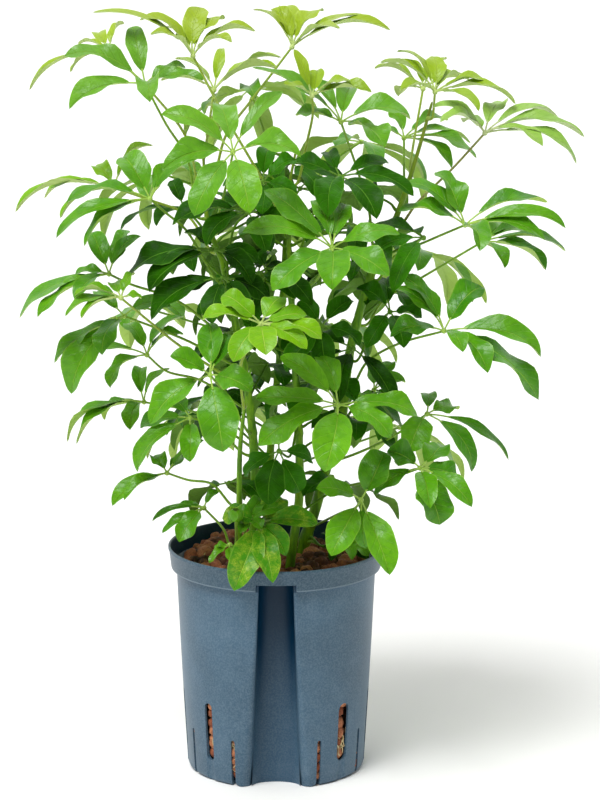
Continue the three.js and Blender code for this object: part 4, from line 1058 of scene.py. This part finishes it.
# a flat leaflet: x from edge to edge, y from base to tip, two skins that meet at the edge
def makeBlank():
    rows, aside = blade['rows'], 3          # a row that is done waits aside, so it isn't chosen again
    bpy.ops.mesh.primitive_grid_add(x_subdivisions=blade['across'], y_subdivisions=len(rows) - 1, size=2,
                                    location=(0, 0, 0), enter_editmode=True)
    blank = bpy.context.object
    for i, (share, width) in enumerate(zip(rows, blade['widths'])):
        here = i * 2 / (len(rows) - 1) - 1
        bpy.ops.mesh.select_all(action='DESELECT')
        chooseVerts(blank, lambda place: abs(place.y - here) < 0.01 and abs(place.z) < 0.01)
        bpy.ops.transform.translate(value=(0, share - here, aside))
        bpy.ops.transform.resize(value=(width, 1, 1), center_override=(0, share, aside))
    bpy.ops.mesh.select_all(action='SELECT')
    bpy.ops.transform.translate(value=(0, 0, -aside))
    bpy.ops.mesh.duplicate()
    bpy.ops.mesh.flip_normals()
    mesh = bmesh.from_edit_mesh(blank.data)
    uv = mesh.loops.layers.uv.active
    for face in mesh.faces:
        if face.select:
            for loop in face.loops:
                loop[uv].uv.x += 2
    for vert in mesh.verts:
        vert.select = vert.select and not vert.is_boundary
    mesh.select_flush_mode()
    bpy.ops.transform.translate(value=(0, 0, -1))
    bpy.ops.mesh.select_all(action='SELECT')
    bpy.ops.mesh.remove_doubles(threshold=0.0001)
    for end in (0, 1):                      # both ends run to a point
        bpy.ops.mesh.select_all(action='DESELECT')
        chooseVerts(blank, lambda place: abs(place.y - end) < 0.001)
        bpy.ops.mesh.merge(type='CENTER')
    bpy.ops.object.mode_set(mode='OBJECT')
    blank = joinAll([blank], 'leaflet_blank')
    setMark(blank, 'stalk', 0)
    return blank


# the short stalk of a leaflet, from y 0 to 1
def makeStalkletBlank():
    bpy.ops.mesh.primitive_cylinder_add(vertices=5, radius=1, depth=1, location=(0, 0.5, 0),
                                        rotation=(math.pi / 2, 0, 0), enter_editmode=True)
    piece = bpy.context.object
    bpy.ops.mesh.select_all(action='DESELECT')
    mesh = bmesh.from_edit_mesh(piece.data)
    for edge in mesh.edges:
        edge.select = abs(edge.verts[0].co.z - edge.verts[1].co.z) > 0.5
    bmesh.update_edit_mesh(piece.data)
    bpy.ops.mesh.subdivide(number_cuts=2)
    bpy.ops.object.mode_set(mode='OBJECT')
    piece = joinAll([piece], 'stalklet_blank')
    setMark(piece, 'stalk', 1)
    return piece


# where the CAD leaf has its tips: the corners where only three faces meet
def cadTips(name, hub):
    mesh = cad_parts[name].data
    mesh.calc_loop_triangles()
    corners = {}
    for triangle in mesh.loop_triangles:
        for index in triangle.vertices:
            place = mesh.vertices[index].co
            key = tuple(round(value * tipRule['cellsPerMetre']) for value in place)
            corners.setdefault(key, [place.copy(), 0])[1] += 1
    tips = [place for place, count in corners.values() if count == 3]
    return [tip for tip in tips if (tip - hub).length > tipRule['fromHub'] * mm]


# the column and row where a place is seen
def pictured(place):
    cos, sin = math.cos(view['tilt']), math.sin(view['tilt'])
    back, drop = view['distance'] + place.y, place.z - view['height']
    away = back * cos - drop * sin
    return Vector((view['middle'][0] + view['focal'] * place.x / away,
                   view['middle'][1] - view['focal'] * (back * sin + drop * cos) / away))


# a leaf's numbers with its places in metres
def leafPlan(name):
    if name in rearPlaces:
        height, hub = rearPlaces[name]
        hub = Vector(hub) * mm
        outward = Vector((hub.x, hub.y)).normalized() * rearRule['lean']
        tips = [tip for tip in cadTips(name, hub) if (tip - hub).length > tipRule['fromRearHub'] * mm]
        return dict(usualLeaf, on=('stem_rear', height), route=[], hub=hub, faces=(outward.x, -outward.y),
                    blades=[(tip, rearRule['width']) for tip in tips])
    told = leafPlaces.get(name) or smallPlaces[name]
    hub = seen(*told['hub'])
    tips = cadTips(name, hub) if name in leafPlaces else []
    blades = []
    for column, row, width, *nearer in told['blades']:
        if nearer:
            tip = seen(column, row, told['hub'][2] + nearer[0])
        else:
            spot = Vector((column, row))
            tip = next(place for place in tips if (pictured(place) - spot).length < tipRule['onPicture'])
        blades.append((tip, width))
    route = [seen(*place) for place in told['stalk']]
    return dict(usualLeaf | told, route=route, hub=hub, blades=blades)


def vertexPlaces(pieces):
    places = []
    for piece in pieces:
        flat = np.empty(len(piece.data.vertices) * 3)
        piece.data.vertices.foreach_get('co', flat)
        places.append(flat.reshape(-1, 3))
    return np.concatenate(places)


# lays both blanks along the way from hub to tip, in an arch that is folded, rippled, twisted and bent
def makeLeaflet(blanks, plan, tip, width, draw):
    hub = np.array(plan['hub'])
    chord = np.array(tip) - hub
    length = np.linalg.norm(chord)
    along = chord / length
    upper = np.array((plan['faces'][0], -plan['faces'][1], 1.0))
    upper = upper - along * upper.dot(along)
    upper /= np.linalg.norm(upper)
    side = np.cross(along, upper)
    fold, wave = draw.uniform(*blade['fold']), draw.uniform(*blade['wave'])
    phase = draw.uniform(0, anyTurn)
    twist, sickle = draw.uniform(-1, 1) * blade['twist'], draw.uniform(-1, 1) * blade['sickle']
    hook, uneven = draw.uniform(*blade['hook']), draw.uniform(-1, 1) * blade['uneven']
    half = width * mm / 2
    tint = lerp(plan['tint'], draw.random(), blade['ownTint'])
    pieces = []
    for blank, isBlade in zip(blanks, (True, False)):
        piece = copied(blank, blank.name)
        x, y, z = vertexPlaces([piece]).T
        first, last = (blade['stalkShare'], 1) if isBlade else (0.01, blade['stalkShare'] + 0.05)
        share = lerp(first, last, y)[:, None]
        for grown in blade['calmer']:           # a leaflet at the edge of the CAD box stays calmer
            arch = plan['arch'] * (0.85 + 0.15 * grown)
            centre = hub + chord * share + upper * length * arch * 4 * share * (1 - share)
            centre = centre + side * length * sickle * grown * np.sin(math.pi * share)
            slope = chord + upper * length * arch * 4 * (1 - 2 * share)
            slope = slope / np.linalg.norm(slope, axis=1)[:, None]
            normal = np.cross(side, slope)
            turn = (twist * grown * share[:, 0])[:, None]
            out = side * np.cos(turn) + normal * np.sin(turn)
            up = normal * np.cos(turn) - side * np.sin(turn)
            if isBlade:
                edge = np.abs(x)
                ripple = wave * grown * 4 * np.sin(y * blade['ripples'] + phase + np.sign(x))
                rise = half * (edge * fold * (0.5 + grown) + edge ** 2 * ripple)
                onRib = np.where(z < -0.5, blade['underRib'], 1) * (edge < 0.01)
                rise = rise - blade['ribDepth'] * mm * onRib
                top = blade['peak']
                lower = np.sin(y / top * math.pi / 2) ** 2
                bow = np.where(y < top, lower, 1 - ((y - top) / blade['pastPeak']) ** 2)
                rise = rise + length * hook * grown * bow + z * blade['thick'] * mm
                notch = blade['notch'] * np.sin(y * blade['notches'] + phase * 2 + x)
                across = x * (1 + uneven * np.sign(x) + notch)
                places = centre + out * (across * half)[:, None] + up * rise[:, None]
            else:
                radius = blade['stalklet'] * mm
                places = centre + out * (x * radius)[:, None] + up * (z * radius)[:, None]
            if (places > np.array(cadBox[0])).all() and (places < np.array(cadBox[1])).all():
                break
        piece.data.vertices.foreach_set('co', np.clip(places, cadBox[0], cadBox[1]).ravel())
        piece.data.update()
        setMark(piece, 'tint', tint if isBlade else 1)
        pieces.append(piece)
    return pieces


def makeLeafStalk(plan):
    centre, heading, radius = stemAt(*plan['on'])
    target = plan['route'][0] if plan['route'] else plan['hub']
    out = Vector((target.x - centre.x, target.y - centre.y, 0))
    out = (out - heading * out.dot(heading)).normalized()
    bend = centre + out * (radius + petiole['out']) * mm + Vector((0, 0, petiole['up'] * mm))
    rooted = centre + out * radius * petiole['sunk'] * mm
    start = [rooted, centre + out * (radius + petiole['beyond']) * mm, bend]
    path = smoothPath([*start, *plan['route'], plan['hub']], petiole['steps'])
    radii = []
    for i in range(len(path)):
        share = i / (len(path) - 1)
        swollen = (petiole['base'] - petiole['foot']) * max(0, 1 - i / petiole['swollen']) ** 1.5
        radii.append(lerp(petiole['foot'], petiole['end'], share) + swollen)
    stalk = tube('leaf_stalk', path, radii, petiole['sides'])
    bpy.ops.mesh.primitive_ico_sphere_add(subdivisions=2, radius=petiole['hub'] * mm, location=plan['hub'])
    hub = bpy.context.object
    for piece, tint in ((stalk, 0.1), (hub, 1)):
        setMark(piece, 'stalk', 1)
        setMark(piece, 'tint', tint)
    return [stalk, hub]


innerRule = dict(tries=70, seed=31, stems=('stem_main', 'stem_left', 'stem_middle', 'stem_rear'),
                 heights=(215, 500), reach=(24, 58), rise=0.35, length=(42, 62), width=(16, 21), lean=0.4,
                 uneven=0.15, droop=(0.21, 0.546), leaflets=(6, 7, 8), fewest=4, apart=3.4, hubApart=5,
                 along=(0.4, 0.6, 0.8, 1), across=(-0.8, 0, 0.8), spread=0.15, view=(150, 178, 412, 520))


# more leaves of the dense middle, each leaflet kept only where nothing is in its way
def innerPlans(leaves):
    draw = random.Random(innerRule['seed'])
    taken = vertexPlaces(leaves)
    left, top, right, bottom = innerRule['view']
    plans = {}
    for _ in range(innerRule['tries']):
        on = [draw.choice(innerRule['stems']), draw.uniform(*innerRule['heights'])]
        centre, heading, _ = stemAt(*on)
        angle, reach = draw.uniform(0, 2 * math.pi), draw.uniform(*innerRule['reach'])
        outward = Vector((math.cos(angle), math.sin(angle), 0))
        hub = centre + (outward + Vector((0, 0, innerRule['rise']))) * reach * mm
        upper = (outward * innerRule['lean'] + Vector((0, 0, 1))).normalized()
        first = upper.cross(Vector((0, 0, 1))).normalized()
        second = upper.cross(first)
        count = draw.choice(innerRule['leaflets'])
        turn = draw.random()
        blades, samples = [], []
        for i in range(count):
            around = 2 * math.pi * (i + turn + draw.uniform(-1, 1) * innerRule['uneven']) / count
            away = first * math.cos(around) + second * math.sin(around)
            length = draw.uniform(*innerRule['length'])
            tip = hub + away * length * mm
            tip.z -= length * mm * draw.uniform(*innerRule['droop'])
            width = draw.uniform(*innerRule['width'])
            spot = pictured(tip)
            inView = left < spot.x < right and top < spot.y < bottom
            if not inView or Vector((tip.x, tip.y)).length > innerRule['spread']:
                continue
            chord = tip - hub
            side = chord.cross(upper).normalized()
            lift = upper * chord.length * usualLeaf['arch'] * 4
            body = np.array([hub + chord * s + lift * s * (1 - s) + side * width * mm / 2 * across
                             for s in innerRule['along'] for across in innerRule['across']])
            gap = np.sqrt(((body[:, None] - taken[None]) ** 2).sum(2)).min()
            if gap > innerRule['apart'] * mm:
                blades.append((tip, width))
                samples.append(body)
        hubGap = np.sqrt(((np.array(hub) - taken) ** 2).sum(1)).min()
        if len(blades) >= innerRule['fewest'] and hubGap > innerRule['hubApart'] * mm:
            taken = np.concatenate([taken, *samples])
            faces = (upper.x / upper.z, -upper.y / upper.z)
            plans[f'leaf_within_{len(plans) + 1}'] = dict(
                usualLeaf, tone='shade', on=on, route=[], hub=hub, faces=faces, blades=blades)
    return plans


def makeLeaf(name, plan, blanks, finishes):
    draw = random.Random(name)
    plan['tint'] = plan.get('tint', draw.random())
    pieces = makeLeafStalk(plan)
    for tip, width in plan['blades']:
        pieces += makeLeaflet(blanks, plan, tip, width, draw)
    leaf = joinAll(pieces[::-1], name + '_grown')
    smooth(leaf, crease['plant'])
    tone = plan['tone']
    nodes = [name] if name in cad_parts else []
    return finishPiece(leaf, finishes[tone], leafLooks[tone]['slot'], *nodes)


# a young leaf still curled into a ball, each leaflet wrapped round the others
def makeBud(blank, finishes):
    draw = random.Random(bud['seed'])
    middle = seen(*bud['place'])
    pieces = []
    for i in range(bud['leaflets']):
        piece = copied(blank, 'wrap')
        x, y, z = vertexPlaces([piece]).T
        polar = lerp(bud['polar'][0], bud['polar'][1] + bud['shorter'] * i, y)
        around = i * bud['turn'] + x * bud['wide'] + y * bud['spiral']
        radius = (bud['radius'] + bud['layer'] * i + bud['edge'] * np.abs(x) + bud['thick'] * z) * mm
        places = np.stack([radius * np.sin(polar) * np.cos(around), radius * np.sin(polar) * np.sin(around),
                           radius * np.cos(polar) * bud['tall']], axis=1) + np.array(middle)
        piece.data.vertices.foreach_set('co', places.ravel())
        setMark(piece, 'tint', draw.uniform(*bud['tints']))
        pieces.append(piece)
    centre, _, _ = stemAt(*bud['on'])
    foot = middle - Vector((0, 0, bud['radius'] * mm))
    path = smoothPath([centre, centre.lerp(foot, 0.6) - Vector((0, 0, bud['sag'] * mm)), foot], 6)
    stalk = tube('bud_stalk', path, [bud['stalk']] * len(path), petiole['sides'])
    setMark(stalk, 'stalk', 1)
    setMark(stalk, 'tint', 0.5)
    whole = joinAll([stalk, *pieces][::-1], 'curled_bud')
    smooth(whole, crease['bud'])
    return finishPiece(whole, finishes['leaf'], 'leaf_green')


def leafFinish(name, look):
    finish = Finish(name, Roughness=look['rough'], IOR=1.4, Specular_IOR_Level=look['gloss'])
    u, along, _ = finish.split(finish.add('UVMap', {'uv_map': 'UVMap'}, {}))
    under = u > 1.5                 # the lower skin has its own place on the map
    across = abs((u - under * 2) * 2 - 1)
    tint, stalk = finish.mark('tint'), finish.mark('stalk')
    mottle = finish.noise(60, 4, 0.6)
    fine = finish.noise(700, 3, 0.6)
    quilt = finish.noise(150, 2, 0.5)
    rib = across.fade(0.05, 0.012)
    phase = (along * 9 - across * 1.6) % 1
    veins = abs(phase - 0.5).fade(0.09, 0.02) * (1 - across.fade(0.8, 1))
    face = finish.coats(
        look['dark'],
        (tint, look['face']),
        (mottle.fade(0.35, 0.7) * 0.35, look['face']),
        (quilt.fade(0.6, 0.35) * 0.25, look['dark']),
        # painted light: higher leaves are mixed towards pale by sunny
        (finish.axes()[2].fade(0.46, 0.64) * look['sunny'], look['pale']))
    if look.get('spots'):
        specks = finish.noise(950, 2, 0.6).fade(0.4, 0.6) * 0.7 + 0.3
        spots = finish.noise(110, 4, 0.7).fade(0.42, 0.72) * specks
        face = finish.mix(spots * look['spots'], face, look['pale'])
    # the pale midrib is the leaf's own; the pale line along the edge is a painted highlight
    ribAndEdgeHighlight = rib * 0.6 + across.fade(0.9, 0.98) * 0.35
    face = finish.coats(face, (veins * 0.08, look['rib']), (ribAndEdgeHighlight, look['rib']))
    # the lower skin is the underside's own paler green, lightened further as painted light for light coming
    # through the leaf
    back = finish.mix(rib * 0.5 + veins * 0.2, look['under'], look['rib'])
    stem = finish.mix(mottle.fade(0.4, 0.7) * 0.3 + tint * 0.7, look['stalk'], look['under'])
    finish.show('Base Color', finish.mix(stalk, finish.mix(under, face, back), stem))
    finish.show('Roughness', look['rough'] + under * 0.2 + (fine - 0.5) * 0.12)
    finish.bump(mottle * 1.3 + quilt * 0.5 - veins * 0.25 - rib * 0.5 + fine * 0.1, 0.8, 1)
    return finish.material


# floor and light

studio = dict(front=0.22, back=1.15, turnsAt=(-0.5, 0.8), sun=2.85, sunAngle=30, sunFrom=(-0.45, -0.75, 1.5),
              floorSize=80, floorShade=rgb('f6f6f4'))


def makeStudio():
    bpy.ops.mesh.primitive_plane_add(size=studio['floorSize'], location=(0, 0, 0))
    floor = bpy.context.object
    floor.name = 'studio_floor'
    floor.data.materials.append(Finish('paleFloor', Base_Color=studio['floorShade'], Roughness=0.9).material)
    bpy.ops.object.light_add(type='SUN', location=studio['sunFrom'])
    sun = bpy.context.object
    sun.name, sun.data.energy, sun.data.angle = 'key', studio['sun'], math.radians(studio['sunAngle'])
    sun.rotation_euler = Vector(studio['sunFrom']).to_track_quat('Z', 'Y').to_euler()
    world = bpy.data.worlds.new('studio')       # white all round, brighter behind the plant
    bpy.context.scene.world = world
    world.use_nodes = True
    nodes, link = world.node_tree.nodes, world.node_tree.links.new
    place, split, fade = (nodes.new('ShaderNode' + kind) for kind in ('TexCoord', 'SeparateXYZ', 'MapRange'))
    fade.interpolation_type = 'SMOOTHSTEP'
    for socket, value in enumerate((*studio['turnsAt'], studio['front'], studio['back']), 1):
        fade.inputs[socket].default_value = value
    link(place.outputs['Generated'], split.inputs[0])
    link(split.outputs['Y'], fade.inputs[0])
    link(fade.outputs[0], nodes['Background'].inputs['Strength'])
    nodes['Background'].inputs['Color'].default_value = (1, 1, 1, 1)
    bpy.context.scene.view_settings.view_transform = 'Standard'


# the whole plant

makeCamera()
makePot()
print('pot made')
spines = {name: stemSpine(name) for name in stemPlaces}
feet = [(next(place for place in spine if place.z > (bed['top'] - 4) * mm), stemPlaces[name]['radii'][0])
        for name, spine in spines.items()]
makeBed(feet)
makeRoots()
print('clay bed made')

leafPlans = {name: leafPlan(name) for name in [*leafPlaces, *rearPlaces, *smallPlaces]}
bark = barkFinish()
for name in stemPlaces:
    makeStem(name, [plan['on'][1] for plan in leafPlans.values() if plan['on'][0] == name], bark)
print('stems made')

blanks = [makeBlank(), makeStalkletBlank()]
finishes = {tone: leafFinish(tone + 'Leaf', look) for tone, look in leafLooks.items()}
grown = [makeLeaf(name, plan, blanks, finishes) for name, plan in leafPlans.items()]
inner = innerPlans(grown)
for name, plan in inner.items():
    makeLeaf(name, plan, blanks, finishes)
makeBud(blanks[0], finishes)
remove(*blanks)
print('leaves made:', len(leafPlans), 'and', len(inner), 'within')

makeStudio()
